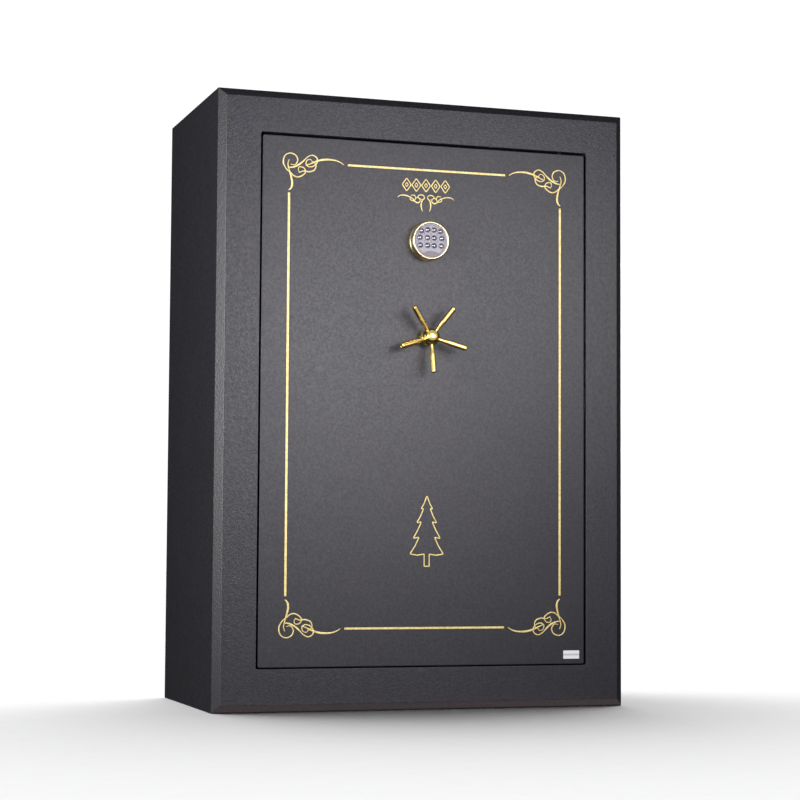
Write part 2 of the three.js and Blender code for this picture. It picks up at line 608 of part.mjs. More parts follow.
function buildHandle() {
  add('handle_collar', handleCollar(), GOLD);
  add('handle_hub', handleHub(), GOLD);
  add('handle_spindle', handleSpindle(), STEEL);
  for (let i = 0; i < SPOKES; i += 1) {
    const spoke = add(`handle_spoke_${i + 1}`, handleSpoke(), GOLD);
    spoke.position.set(0, BALL_Y, HANDLE_Z);
    spoke.rotation.order = 'YXZ';
    spoke.rotation.y = i * 2 * Math.PI / SPOKES;
    spoke.rotation.x = -Math.PI / 2 - SPOKE_CONE;
  }
}

// ---------------------------------------------------------------- keypad
const PAD_FRONT = DOOR_FACE - 32;
const PAD_RADIUS = 48;
const CUP_RADIUS = 42;
const FACE_Y = PAD_FRONT + 2.5;
const FACE_THICK = 4;
const CUP_FLOOR = 5;         // room behind the face
const LENS_THICK = 1.2;
const BUTTON_RADIUS = 5.3;
const BUTTON_HOLE = 5.7;
// Button centres from the middle of the pad, left to right in each row.
const BUTTON_ROWS = [
  { z: [23.5, 26.5, 26.5, 23.5], x: [-24.5, -8.5, 8.5, 24.5] },
  { z: [6.5, 6.5, 6.5, 6.5], x: [-28.5, -8.5, 8.5, 28.5] },
  { z: [-12.5, -12.5, -12.5, -12.5], x: [-27.5, -8.5, 8.5, 27.5] },
];

function buttonCentres() {
  return BUTTON_ROWS.flatMap((row) => row.x.map((x, i) => [x, KEYPAD_Z + row.z[i]]));
}

function keypadBase() {
  const ledge = CUP_RADIUS - 2;
  const ledgeY = FACE_Y + FACE_THICK + GAP;
  const floor = ledgeY + CUP_FLOOR;
  const back = DOOR_FACE - GAP;
  return turned([
    [0, floor], [ledge, floor], [ledge, ledgeY], [CUP_RADIUS + GAP, ledgeY], [CUP_RADIUS + GAP, PAD_FRONT + 1.5],
    [PAD_RADIUS - 3, PAD_FRONT], [PAD_RADIUS, PAD_FRONT + 4], [PAD_RADIUS, back - 18],
    [PAD_RADIUS - 2.5, back - 14], [PAD_RADIUS - 2.5, back - 9], [PAD_RADIUS, back - 6], [PAD_RADIUS, back], [0, back],
  ], 0, KEYPAD_Z, 48);
}

function keypadFace() {
  const disc = bar('y', 0, KEYPAD_Z, CUP_RADIUS, FACE_Y, FACE_Y + FACE_THICK, 48);
  const holes = buttonCentres().map(([x, z]) => bar('y', x, z, BUTTON_HOLE, FACE_Y - OVERRUN, FACE_Y + FACE_THICK + OVERRUN, 16));
  return cut(disc, ...holes);
}

// A lens between the pad's lower edge and a flatter arc above it.
function keypadPlate() {
  const reach = Math.PI * 0.19;
  const lower = CUP_RADIUS - 1;
  const halfWidth = lower * Math.sin(reach);
  const cornerZ = KEYPAD_Z - lower * Math.cos(reach);
  const rise = 7.5;
  const upper = (halfWidth ** 2 + rise ** 2) / (2 * rise);
  const half = Math.asin(halfWidth / upper);
  const lens = new THREE.Shape();
  lens.absarc(0, KEYPAD_Z, lower, -Math.PI / 2 - reach, -Math.PI / 2 + reach);
  lens.absarc(0, cornerZ + rise - upper, upper, Math.PI / 2 - half, Math.PI / 2 + half);
  return plate(lens, FACE_Y - GAP - LENS_THICK, LENS_THICK, 8);
}

function keypadButton(x, z) {
  const rear = FACE_Y + FACE_THICK + 2.2;
  return turned([
    [0, FACE_Y - 2.5], [2.4, FACE_Y - 2.3], [4.4, FACE_Y - 1.7], [BUTTON_RADIUS, FACE_Y - 0.6],
    [BUTTON_RADIUS, rear - 1], [BUTTON_RADIUS - 1, rear], [0, rear],
  ], x, z, 16);
}

function buildKeypad() {
  add('keypad_base', keypadBase(), GOLD);
  add('keypad_face', keypadFace(), SILVER);
  add('keypad_plate', keypadPlate(), CHROME);
  buttonCentres().forEach(([x, z], i) => {
    add(`keypad_button_${i + 1}`, keypadButton(x, z), SILVER);
  });
}

buildCabinet();
buildInterior();
buildDoor();
buildLeftBolts();
buildEndBolts();
buildHandle();
buildKeypad();

export default safe;
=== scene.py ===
"""Gun safe: the looks, built as an add-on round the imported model.

Sizes are in millimetres and go to metres through MM; the stage is in metres. X runs across the front,
-Y is the front and +Z is up. The door is shut and the bolts are drawn back.
"""
import json
import math

import bmesh
import bpy
import numpy as np
from mathutils import Matrix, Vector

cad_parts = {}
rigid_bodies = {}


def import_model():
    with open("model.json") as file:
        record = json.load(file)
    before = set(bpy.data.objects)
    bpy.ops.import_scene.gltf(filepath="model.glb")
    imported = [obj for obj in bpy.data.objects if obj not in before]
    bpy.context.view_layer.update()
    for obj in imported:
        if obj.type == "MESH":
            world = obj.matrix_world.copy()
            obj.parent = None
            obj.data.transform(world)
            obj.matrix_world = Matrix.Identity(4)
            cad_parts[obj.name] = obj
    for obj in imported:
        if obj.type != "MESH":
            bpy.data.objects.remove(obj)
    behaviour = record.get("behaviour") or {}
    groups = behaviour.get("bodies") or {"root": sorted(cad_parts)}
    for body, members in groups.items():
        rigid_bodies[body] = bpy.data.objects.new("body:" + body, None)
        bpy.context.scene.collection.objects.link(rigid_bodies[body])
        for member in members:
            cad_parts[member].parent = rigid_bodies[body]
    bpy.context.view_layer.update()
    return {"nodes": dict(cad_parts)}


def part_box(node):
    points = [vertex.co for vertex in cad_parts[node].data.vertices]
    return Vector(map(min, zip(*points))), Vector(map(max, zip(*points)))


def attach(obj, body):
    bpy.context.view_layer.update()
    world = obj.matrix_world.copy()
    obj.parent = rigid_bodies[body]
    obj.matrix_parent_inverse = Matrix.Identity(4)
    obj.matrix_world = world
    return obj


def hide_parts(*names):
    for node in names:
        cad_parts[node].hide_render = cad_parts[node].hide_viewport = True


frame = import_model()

bl_info = {
    "name": "Gun safe",
    "version": (1, 0, 0),
    "blender": (4, 5, 0),
    "location": "3D View > Sidebar > Gun safe",
    "description": "Builds the finishes and the fine pieces of a gun safe round its packed model",
    "category": "Object",
}

MM = 0.001

# ---------------------------------------------------------------- places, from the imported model
def corners(node):
    """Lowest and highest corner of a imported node, in millimetres."""
    low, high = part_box(node)
    return np.array(low) / MM, np.array(high) / MM


SHELL_LOW, SHELL_HIGH = corners("body_shell")
PLATE_LOW, PLATE_HIGH = corners("door_plate")
CHASSIS_LOW, CHASSIS_HIGH = corners("door_chassis")
FRONT = SHELL_LOW[1]
DOOR_FACE = PLATE_LOW[1]
BEVEL = 19
SHEET = 4
MARGIN = 104
DOORWAY_CORNER = 5
PAINT_ROOT = 0.05            # how deep a stroke's back lies in the door, so that no light passes under it
LINERS = ("liner_left", "liner_right", "liner_back", "liner_top", "liner_floor")
SHELVES = ("top_shelf", "centre_divider", "side_shelf_lower", "side_shelf_middle", "side_shelf_upper")
SPOKES = 5
WHITE = "#ffffff"

HUB_LOW, HUB_HIGH = corners("handle_hub")
BALL_RADIUS = 21
BALL = np.array([0, HUB_LOW[1] + BALL_RADIUS, (HUB_LOW[2] + HUB_HIGH[2]) / 2])
PAD_LOW, PAD_HIGH = corners("keypad_base")
PAD_CENTRE = (PAD_LOW + PAD_HIGH) / 2
PAD_FRONT = PAD_LOW[1]
PAD_RADIUS = (PAD_HIGH[0] - PAD_LOW[0]) / 2
FACE_LOW, FACE_HIGH = corners("keypad_face")
BUTTONS = [f"keypad_button_{i + 1}" for i in range(12)]
BUTTON_CENTRES = np.array([sum(corners(name)) / 2 for name in BUTTONS])
LEFT_BOLTS = [f"left_bolt_{i + 1}" for i in range(4)]


# ---------------------------------------------------------------- surfaces
def grid_faces(rows, columns, round_columns=False, round_rows=False):
    """Four-cornered faces between the neighbours of a rows by columns grid of points."""
    row = np.arange(rows if round_rows else rows - 1)
    column = np.arange(columns if round_columns else columns - 1)
    row, column = (a.ravel() for a in np.meshgrid(row, column, indexing="ij"))
    next_row, next_column = (row + 1) % rows, (column + 1) % columns
    return np.stack([row * columns + column, next_row * columns + column,
                     next_row * columns + next_column, row * columns + next_column], -1)


def surface(points, round_columns=True, round_rows=False, caps=True):
    """A grid of points, shape (rows, columns, 3), as (points, faces); caps close its first and last row."""
    rows, columns = points.shape[:2]
    faces = grid_faces(rows, columns, round_columns, round_rows).tolist()
    if caps and not round_rows:
        faces.append(list(range(columns)))
        faces.append(list(range((rows - 1) * columns, rows * columns)))
    return points.reshape(-1, 3), faces


def filleted(points, radii, steps=4, closed=False):
    """A line of points with each corner replaced by an arc of its radius.

    The arc's centre lies on the bisector, radius / sin(half angle) from the corner, and the points
    between the two tangent points turn evenly about it.
    """
    points = np.asarray(points, float)
    radii = np.broadcast_to(np.asarray(radii, float), len(points)).copy()
    if not closed:
        radii[[0, -1]] = 0
    before, after = np.roll(points, 1, 0) - points, np.roll(points, -1, 0) - points
    if not closed:
        before[0], after[-1] = -after[0], -before[-1]
    before /= np.linalg.norm(before, axis=1)[:, None]
    after /= np.linalg.norm(after, axis=1)[:, None]
    half = np.arccos(np.clip((before * after).sum(1), -0.999999, 0.999999)) / 2
    bisector = before + after
    length = np.linalg.norm(bisector, axis=1)
    bisector = bisector / np.maximum(length, 1e-9)[:, None]
    radii = np.where(length < 1e-6, 0, np.maximum(radii, 1e-6))
    centre = points + bisector * (radii / np.sin(half))[:, None]
    start = points + before * (radii / np.tan(half))[:, None] - centre
    end = points + after * (radii / np.tan(half))[:, None] - centre
    sweep = np.pi - 2 * half
    share = np.linspace(0, 1, steps + 1)
    weights = (np.sin((1 - share) * sweep[:, None]), np.sin(share * sweep[:, None]))
    arc = centre[:, None] + (weights[0][..., None] * start[:, None] + weights[1][..., None] * end[:, None]) \
        / np.sin(sweep)[:, None, None]
    straight = (np.abs(np.sin(sweep)) < 1e-5) | (radii < 1e-5)
    arc[straight] = points[straight][:, None]
    line = arc.reshape(-1, points.shape[1])
    keep = np.ones(len(line), bool)
    keep[1:] = np.linalg.norm(np.diff(line, axis=0), axis=1) > 1e-5
    return line[keep]


def turned(profile, origin, axis, segments=48):
    """A profile of (radius, height) points turned about an axis through origin.

    point = origin + height * axis + radius * (cos a * u + sin a * v), with u and v square to the axis.
    """
    profile, axis = np.asarray(profile, float), np.asarray(axis, float)
    axis = axis / np.linalg.norm(axis)
    u = np.cross(axis, [0.0, 0, 1] if abs(axis[2]) < 0.9 else [1.0, 0, 0])
    u /= np.linalg.norm(u)
    v = np.cross(axis, u)
    angle = np.linspace(0, 2 * np.pi, segments, endpoint=False)
    ring = np.cos(angle)[:, None] * u + np.sin(angle)[:, None] * v
    return surface(np.asarray(origin) + profile[:, 1, None, None] * axis + profile[:, 0, None, None] * ring)


def turned_ring(section, middle, axis, steps):
    """A closed section turned round an axis that it doesn't touch, without the ends that a rod has."""
    points, faces = turned(np.vstack([section, section[:1]]), middle, axis, steps)
    return points, faces[:-2]


def rounded_block(low, high, radius, steps=3):
    """A block with round edges: a sphere of the radius, split along its middle planes and moved apart.

    point = middle + sign * (half size - radius) + radius * normal, with each octant's own signs.
    """
    low, high = np.asarray(low, float), np.asarray(high, float)
    quarter = np.linspace(0, np.pi / 2, steps + 1)
    turn = (quarter + np.arange(4)[:, None] * np.pi / 2).ravel()
    rise = np.concatenate([quarter - np.pi / 2, quarter])
    normal = np.stack([np.cos(rise)[:, None] * np.cos(turn), np.cos(rise)[:, None] * np.sin(turn),
                       np.sin(rise)[:, None] * np.ones_like(turn)], -1)
    sign = np.stack(np.broadcast_arrays(
        np.repeat([1, -1, -1, 1], steps + 1), np.repeat([1, 1, -1, -1], steps + 1),
        np.repeat([-1, 1], steps + 1)[:, None]), -1)
    return surface((low + high) / 2 + sign * ((high - low) / 2 - radius) + radius * normal)


def rounded_loops(profile, corner, half_x, low_z, high_z, steps=6):
    """A profile of (inset, y) points carried round a rectangle with round corners.

    At inset d the rectangle is smaller by d on each side; its corner centres stand the corner radius
    inside its corners, and the points turn a quarter about each.
    """
    inset, y = np.asarray(profile, float).T
    corner = np.broadcast_to(np.asarray(corner, float), inset.shape)[:, None]
    angle = (np.linspace(0, np.pi / 2, steps + 1) + np.arange(4)[:, None] * np.pi / 2).ravel()
    sign_x = np.repeat([1, -1, -1, 1], steps + 1)
    sign_z = np.repeat([1, 1, -1, -1], steps + 1)
    x = sign_x * (half_x - inset[:, None] - corner) + corner * np.cos(angle)
    half_z = (high_z - low_z) / 2
    z = (low_z + high_z) / 2 + sign_z * (half_z - inset[:, None] - corner) + corner * np.sin(angle)
    return np.stack([x, np.broadcast_to(y[:, None], x.shape), z], -1)


def slab(outline, front, back):
    """An outline of (x, z) points with a straight wall from front to back."""
    outline = np.asarray(outline, float)
    y = np.repeat([front, back], len(outline)).reshape(2, -1)
    return surface(np.stack([np.tile(outline[:, 0], (2, 1)), y, np.tile(outline[:, 1], (2, 1))], -1))


def smooth_line(points, samples=14):
    """A curve through points: between two points it is the cubic whose slope at each is half the way
    from the point before to the point after."""
    points = np.asarray(points, float)
    slope = np.gradient(points, axis=0)
    t = np.linspace(0, 1, samples, endpoint=False)[:, None]
    a, b, da, db = points[:-1, None], points[1:, None], slope[:-1, None], slope[1:, None]
    line = ((2 * t**3 - 3 * t**2 + 1) * a + (t**3 - 2 * t**2 + t) * da
            + (3 * t**2 - 2 * t**3) * b + (t**3 - t**2) * db)
    return np.vstack([line.reshape(-1, 2), points[-1:]])


def brushed_line(line, widths, rise, closed=False):
    """A stroke of paint on the door along a line of (x, z) points.

    Across it the paint stands rise * sqrt(1 - s^2) proud of the door, with s from -1 to 1 over its
    width; widths are given at even shares of its length, and it narrows to a round end.
    """
    line = np.asarray(line, float)
    if closed:
        wrapped = np.vstack([line[-1:], line, line[:1]])
        tangent = np.gradient(wrapped, axis=0)[1:-1]
    else:
        tangent = np.gradient(line, axis=0)
    tangent /= np.maximum(np.linalg.norm(tangent, axis=1), 1e-9)[:, None]
    side = np.stack([-tangent[:, 1], tangent[:, 0]], -1)
    travel = np.concatenate([[0], np.cumsum(np.linalg.norm(np.diff(line, axis=0), axis=1))])
    share = travel / travel[-1]
    half = np.interp(share, np.linspace(0, 1, len(widths)), widths) / 2
    if not closed:
        end = np.minimum(travel, travel[-1] - travel)
        half = half * np.sqrt(np.clip(1 - (1 - np.clip(end / np.maximum(half, 0.1), 0, 1))**2, 0, 1))
    thick = np.minimum(1, half / 0.6)[:, None]
    s = np.append(np.cos(np.linspace(0, np.pi, 7)), [-1, 1])
    height = np.append(np.sin(np.linspace(0, np.pi, 7)) * rise, [-PAINT_ROOT, -PAINT_ROOT])
    flat = line[:, None] + side[:, None] * (half[:, None] * s)[..., None]
    y = DOOR_FACE - height * thick
    return surface(np.stack([flat[..., 0], y, flat[..., 1]], -1), round_rows=closed)


def mirrored(line, x=None, z=None):
    """A line of (x, z) points mirrored about an upright line at x, or a level line at z."""
    line = np.array(line, float)
    if x is not None:
        line[:, 0] = 2 * x - line[:, 0]
    if z is not None:
        line[:, 1] = 2 * z - line[:, 1]
    return line


def joined(parts):
    """Several (points, faces) as one."""
    points, faces, offset = [], [], 0
    for part_points, part_faces in parts:
        points.append(part_points)
        faces += [[i + offset for i in face] for face in part_faces]
        offset += len(part_points)
    return np.vstack(points), faces


def piece(name, parts, finish, body, replaces=(), weighted=True, bevel=0.0):
    """Puts surfaces, in millimetres, into a mesh that rides on a body and takes a finish."""
    points, faces = joined(parts)
    mesh = bpy.data.meshes.new(name)
    mesh.from_pydata((points * MM).tolist(), [], faces)
    work = bmesh.new()
    work.from_mesh(mesh)
    bmesh.ops.remove_doubles(work, verts=work.verts, dist=2e-6)
    bmesh.ops.dissolve_degenerate(work, edges=work.edges, dist=1e-7)
    bmesh.ops.recalc_face_normals(work, faces=work.faces)
    work.to_mesh(mesh)
    work.free()
    mesh.shade_smooth()
    mesh.materials.append(finish)
    made = bpy.data.objects.new(name, mesh)
    bpy.context.scene.collection.objects.link(made)
    if bevel:
        rounding = made.modifiers.new("rounded edges", "BEVEL")
        rounding.width = bevel * MM
        rounding.segments = 3
        rounding.limit_method = "ANGLE"
        rounding.angle_limit = math.radians(35)
    if weighted:
        made.modifiers.new("true flats", "WEIGHTED_NORMAL").keep_sharp = True
    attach(made, body)
    if replaces:
        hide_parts(*replaces)
    return made


# ---------------------------------------------------------------- finishes
def linear(colour):
    """An sRGB hex colour such as '#5d5c60' as linear red, green, blue and alpha."""
    value = np.array([int(colour[i:i + 2], 16) for i in (1, 3, 5)]) / 255
    value = np.where(value <= 0.04045, value / 12.92, ((value + 0.055) / 1.055)**2.4)
    return (*value.tolist(), 1.0)


def node(tree, kind, inputs=None, **settings):
    """Adds a node with its settings; each input is a value or the socket that feeds it."""
    made = tree.nodes.new(kind)
    for key, value in settings.items():
        setattr(made, key, value)
    for socket, value in (inputs or {}).items():
        if isinstance(value, bpy.types.NodeSocket):
            tree.links.new(value, made.inputs[socket])
        else:
            made.inputs[socket].default_value = value
    return made


def new_finish(name, colour, metallic, roughness, **sockets):
    """A material with one shader: returns it, its tree and its shader."""
    made = bpy.data.materials.new(name)
    made.use_nodes = True
    tree = made.node_tree
    tree.nodes.clear()
    shader = node(tree, "ShaderNodeBsdfPrincipled", {
        "Base Color": colour, "Metallic": metallic, "Roughness": roughness, **sockets})
    node(tree, "ShaderNodeOutputMaterial", {"Surface": shader.outputs["BSDF"]})
    return made, tree, shader


def per_mm(size):
    """The scale of a texture on Object coordinates, in metres, whose pattern repeats every size mm."""
    return 1 / (size * MM)


def object_place(tree, stretch=(1, 1, 1)):
    """Object coordinates, stretched along the axes."""
    place = node(tree, "ShaderNodeTexCoord")
    return node(tree, "ShaderNodeMapping", {"Vector": place.outputs["Object"],
                                            "Scale": stretch}).outputs["Vector"]


def grain(tree, place, size, detail=2.0, rough=0.5):
    """Noise whose lumps are about size mm wide."""
    return node(tree, "ShaderNodeTexNoise", {"Vector": place, "Scale": per_mm(size), "Detail": detail,
                                             "Roughness": rough}).outputs["Fac"]


def spread(tree, value, low, high, out_low, out_high):
    """value from low to high, mapped to out_low to out_high and held there beyond."""
    return node(tree, "ShaderNodeMapRange", {"Value": value, "From Min": low, "From Max": high,
                                             "To Min": out_low, "To Max": out_high}).outputs["Result"]


def colour_between(tree, shader, share, dark, light):
    """Colours the shader between two sRGB hex colours."""
    mixed = node(tree, "ShaderNodeMix", {"Factor": share, "A": linear(dark), "B": linear(light)},
                 data_type="RGBA")
    tree.links.new(mixed.outputs["Result"], shader.inputs["Base Color"])


def roughness_between(tree, shader, value, low, high, smooth, rough):
    """Takes the shader's roughness from smooth to rough as value goes from low to high."""
    tree.links.new(spread(tree, value, low, high, smooth, rough), shader.inputs["Roughness"])


def relief(tree, shader, height, depth):
    """Height from 0 to 1 as a bump depth mm deep."""
    bump = node(tree, "ShaderNodeBump", {"Height": height, "Distance": depth * MM, "Strength": 1.0})
    tree.links.new(bump.outputs["Normal"], shader.inputs["Normal"])


def add_values(tree, first, second, share):
    """first plus share of second."""
    return node(tree, "ShaderNodeMath", {0: second, 1: share, 2: first}, operation="MULTIPLY_ADD").outputs[0]


def powder_coat(name, dark, light, roughness, pebble, depth):
    """Pebble-textured powder coat, sprayed dry on steel and baked.

    The powder flows into low pebbles a few millimetres wide: small soft glints beside small dark
    hollows, with faint clouds where the film is thicker. The colour is painted darker where the lumps
    sink, so the hollows hold painted shade and the pebbles a lighter tone.
    """
    made, tree, shader = new_finish(name, linear(dark), 0.0, roughness)
    place = object_place(tree)
    pebbles = node(tree, "ShaderNodeTexVoronoi", {"Vector": place, "Scale": per_mm(pebble), "Smoothness": 0.6,
                                                  "Detail": 1.0}, feature="SMOOTH_F1").outputs["Distance"]
    lumps = grain(tree, place, pebble * 2.2, 4.0, 0.62)
    clouds = grain(tree, place, 110, 2.0)
    tone = add_values(tree, spread(tree, lumps, 0.36, 0.66, 0, 0.75), clouds, 0.28)
    # painted shade: the colour follows the lumps that also shape the bump, darker in the hollows and lighter
    # on the pebbles; the clouds add the film's own tone
    colour_between(tree, shader, tone, dark, light)
    roughness_between(tree, shader, lumps, 0.3, 0.7, roughness + 0.05, roughness - 0.05)
    relief(tree, shader, add_values(tree, lumps, pebbles, -0.6), depth)
    return made


def brushed_steel(name, colour, roughness, stretch, dark="#8e9092"):
    """Steel ground with an abrasive belt: fine lines along one axis that draw a highlight out."""
    made, tree, shader = new_finish(name, linear(colour), 1.0, roughness)
    lines = grain(tree, object_place(tree, stretch), 1.2, 3.0, 0.6)
    colour_between(tree, shader, lines, dark, colour)
    roughness_between(tree, shader, lines, 0.3, 0.7, roughness - 0.08, roughness + 0.1)
    relief(tree, shader, lines, 0.02)
    return made


def plated(name, colour, tint, roughness, wear=0.04):
    """Electroplated metal on a polished base: a clear mirror with faint clouds and polishing marks."""
    made, tree, shader = new_finish(name, linear(colour), 1.0, roughness)
    clouds = grain(tree, object_place(tree), 9, 3.0)
    marks = grain(tree, object_place(tree, (1, 1, 6)), 2.0, 4.0, 0.7)
    colour_between(tree, shader, clouds, tint, colour)
    roughness_between(tree, shader, marks, 0.35, 0.7, roughness, roughness + wear)
    relief(tree, shader, marks, 0.002)
    return made


def board(name):
    """Gypsum fireboard: chalky grey-cream core with paper fibres and crumbled specks."""
    made, tree, shader = new_finish(name, linear("#d8d2c6"), 0.0, 0.92)
    specks = grain(tree, object_place(tree), 2.5, 5.0, 0.7)
    colour_between(tree, shader, spread(tree, specks, 0.35, 0.65, 0, 1), "#b8b1a4", "#e2ddd2")
    relief(tree, shader, specks, 0.3)
    return made


def carpet(name, dark, light):
    """Needle-felt carpet glued to panels: short tangled fibres, matt, with a soft sheen at the edges."""
    made, tree, shader = new_finish(name, linear(dark), 0.0, 0.97, **{
        "Sheen Weight": 0.35, "Sheen Roughness": 0.6, "Specular IOR Level": 0.15})
    fibres = grain(tree, object_place(tree, (1, 1.7, 1)), 1.6, 5.0, 0.75)
    tufts = grain(tree, object_place(tree), 7, 3.0)
    tone = add_values(tree, spread(tree, fibres, 0.35, 0.65, 0, 0.7), tufts, 0.35)
    colour_between(tree, shader, tone, dark, light)
    relief(tree, shader, add_values(tree, fibres, tufts, 0.6), 0.9)
    return made


def seal_strip(name):
    """Intumescent strip, extruded from graphite and binder: near black, dull, finely pitted."""
    made, tree, shader = new_finish(name, linear("#1c1c1d"), 0.0, 0.85)
    pits = grain(tree, object_place(tree), 0.9, 4.0, 0.7)
    colour_between(tree, shader, pits, "#141415", "#2a2a2b")
    relief(tree, shader, pits, 0.15)
    return made


def satin_pad(name):
    """Metallic-sprayed ABS, moulded: satin silver with a fine flake."""
    made, tree, shader = new_finish(name, linear("#9d9aa2"), 0.35, 0.45)
    flake = grain(tree, object_place(tree), 0.5, 3.0, 0.7)
    colour_between(tree, shader, spread(tree, flake, 0.3, 0.7, 0, 1), "#827f88", "#a8a5ad")
    roughness_between(tree, shader, flake, 0.3, 0.7, 0.4, 0.52)
    relief(tree, shader, flake, 0.01)
    return made


def stripe_paint(name):
    """Gold foil under lacquer, screened on the powder coat: pale yellow that keeps the pebbles below."""
    made, tree, shader = new_finish(name, linear("#f0d880"), 0.25, 0.42)
    pebbles = grain(tree, object_place(tree), 5, 3.0)
    colour_between(tree, shader, spread(tree, pebbles, 0.35, 0.65, 0, 1), "#dcc070", "#f6e6a0")
    relief(tree, shader, pebbles, 0.05)
    return made


def paper_label(name):
    """Coated paper with a faint grey bar printed along it and no lettering."""
    made, tree, shader = new_finish(name, linear("#e9e9ea"), 0.0, 0.5)
    place = node(tree, "ShaderNodeTexCoord").outputs["Object"]
    height = node(tree, "ShaderNodeSeparateXYZ", {"Vector": place}).outputs["Z"]
    middle = (STICKER[2] + STICKER[3]) / 2 * MM
    bar = node(tree, "ShaderNodeMath", {0: height, 1: middle, 2: 2.2 * MM}, operation="COMPARE").outputs[0]
    fibres = grain(tree, place, 1.5, 4.0)
    tone = add_values(tree, spread(tree, fibres, 0.3, 0.7, 0, 0.12), bar, 0.45)
    colour_between(tree, shader, tone, "#f1f1f0", "#8d8e92")
    relief(tree, shader, fibres, 0.02)
    return made


def floor_finish():
    """Painted studio floor: pale, matt, with a barely visible roller texture."""
    made, tree, shader = new_finish("painted studio floor", linear("#f2f2f2"), 0.0, 0.9, **{
        "Specular IOR Level": 0.0})
    texture = grain(tree, object_place(tree), 60, 3.0)
    colour_between(tree, shader, texture, "#efefef", "#f4f4f4")
    return made


FINISHES = {}


def finish(name):
    """The finish of that name, made at its first use."""
    if name not in FINISHES:
        FINISHES[name] = MAKERS[name](bpy.context.scene.safe_finishes)
    return FINISHES[name]


def safe_coat(look, part, pebble, depth):
    """The coat of the cabinet or the door, which differ in the size and depth of their pebbles."""
    return powder_coat(f"pebbled charcoal powder coat, {part}", look.coat_shaded_hollows, look.coat_light,
                       look.coat_roughness, pebble, depth)


MAKERS = {
    "frame": lambda look: safe_coat(look, "cabinet", 3.4, 0.36),
    "door": lambda look: safe_coat(look, "door", 2.6, 0.14),
    "black": lambda look: powder_coat("smooth black powder coat", "#161617", "#232326", 0.5, 1.2, 0.04),
    "steel": lambda look: brushed_steel("belt-ground steel", "#b4b6b8", 0.34, (1, 1, 14)),
    "oxide": lambda look: brushed_steel("black-oxided steel", "#2b2b2d", 0.4, (1, 1, 9), "#171718"),
    "zinc": lambda look: brushed_steel("die-cast zinc lock case", "#a4a6a9", 0.46, (3, 1, 3)),
    "chrome": lambda look: plated("hard chrome on ground steel", "#d2d4d6", "#b9bbbe", 0.12),
    "button": lambda look: plated("satin chrome on moulded buttons", "#b9b5bb", "#96929a", 0.3),
    "gold": lambda look: plated("polished gold plate on brass", look.gold, look.gold_tint,
                                look.gold_roughness),
    "pale_gold": lambda look: plated("pale gold plate on zinc", look.pale_gold, look.pale_gold_tint, 0.26),
    "lens": lambda look: plated("satin nickel plate", "#8f878a", "#7b7477", 0.55),
    "silver": lambda look: satin_pad("metallic-sprayed ABS keypad face"),
    "board": lambda look: board("gypsum fireboard"),
    "carpet": lambda look: carpet("needle-felt carpet", "#2f2f32", "#56565a"),
    "seal": lambda look: seal_strip("graphite intumescent strip"),
    "stripe": lambda look: stripe_paint("screened gold foil pinstripe"),
    "label": lambda look: paper_label("blank coated paper label"),
}


# ---------------------------------------------------------------- settings
def hex_setting(name, description, value):
    """A colour setting, as an sRGB hex string."""
    return bpy.props.StringProperty(name=name, description=f"{description}, sRGB hex", default=value)


def share_setting(name, description, value):
    """A setting from 0 to 1."""
    return bpy.props.FloatProperty(name=name, description=description, default=value, min=0, max=1,
                                   subtype="FACTOR")


def length_setting(name, description, millimetres):
    """A length setting, in metres, with its default in millimetres."""
    return bpy.props.FloatProperty(name=name, description=description, default=millimetres * MM, min=0,
                                   unit="LENGTH", precision=5)


def power_setting(name, description, value):
    """A power setting."""
    return bpy.props.FloatProperty(name=name, description=description, default=value, min=0, unit="POWER")


def strength_setting(name, description, value):
    """A plain strength setting, as suns and backgrounds take it."""
    return bpy.props.FloatProperty(name=name, description=description, default=value, min=0)


class SafeFinishSettings(bpy.types.PropertyGroup):
    """Colours and gloss of the coat and the plated metal."""
    # painted shade: the coat runs from the first colour in the pebbles' hollows to the second on the pebbles,
    # so the darker one is painted shade
    coat_shaded_hollows: hex_setting("Coat, hollows", "Powder coat in its hollows", "#1f1e21")
    coat_light: hex_setting("Coat, pebbles", "Powder coat on its pebbles", "#323136")
    coat_roughness: share_setting("Coat roughness", "Roughness of the powder coat", 0.4)
    gold: hex_setting("Gold", "Handle plating", "#f8dd8e")
    gold_tint: hex_setting("Gold, clouds", "Handle plating in its clouds", "#ecc766")
    gold_roughness: share_setting("Gold roughness", "Roughness of the handle plating", 0.15)
    pale_gold: hex_setting("Pale gold", "Keypad housing plating", "#f4e4c4")
    pale_gold_tint: hex_setting("Pale gold, clouds", "Keypad housing plating in its clouds", "#e4cc94")


class SafeSizeSettings(bpy.types.PropertyGroup):
    """Sizes of the fine shapes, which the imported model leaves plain."""
    bend: length_setting("Bend radius", "Outer radius of the folds in the cabinet sheet", 2.2)
    plate_edge: length_setting("Door edge radius", "Radius of the door plate's front edge", 1.6)
    stripe_width: length_setting("Stripe width", "Width of the straight pinstripes", 5.5)
    stroke_width: length_setting("Stroke width", "Width of the scrolls at their fullest", 5.0)
    paint_rise: length_setting("Paint rise", "How far pinstripes stand proud of the door", 0.25)
    lining_edge: length_setting("Lining edge radius", "Radius of the carpeted panels' edges", 2.2)


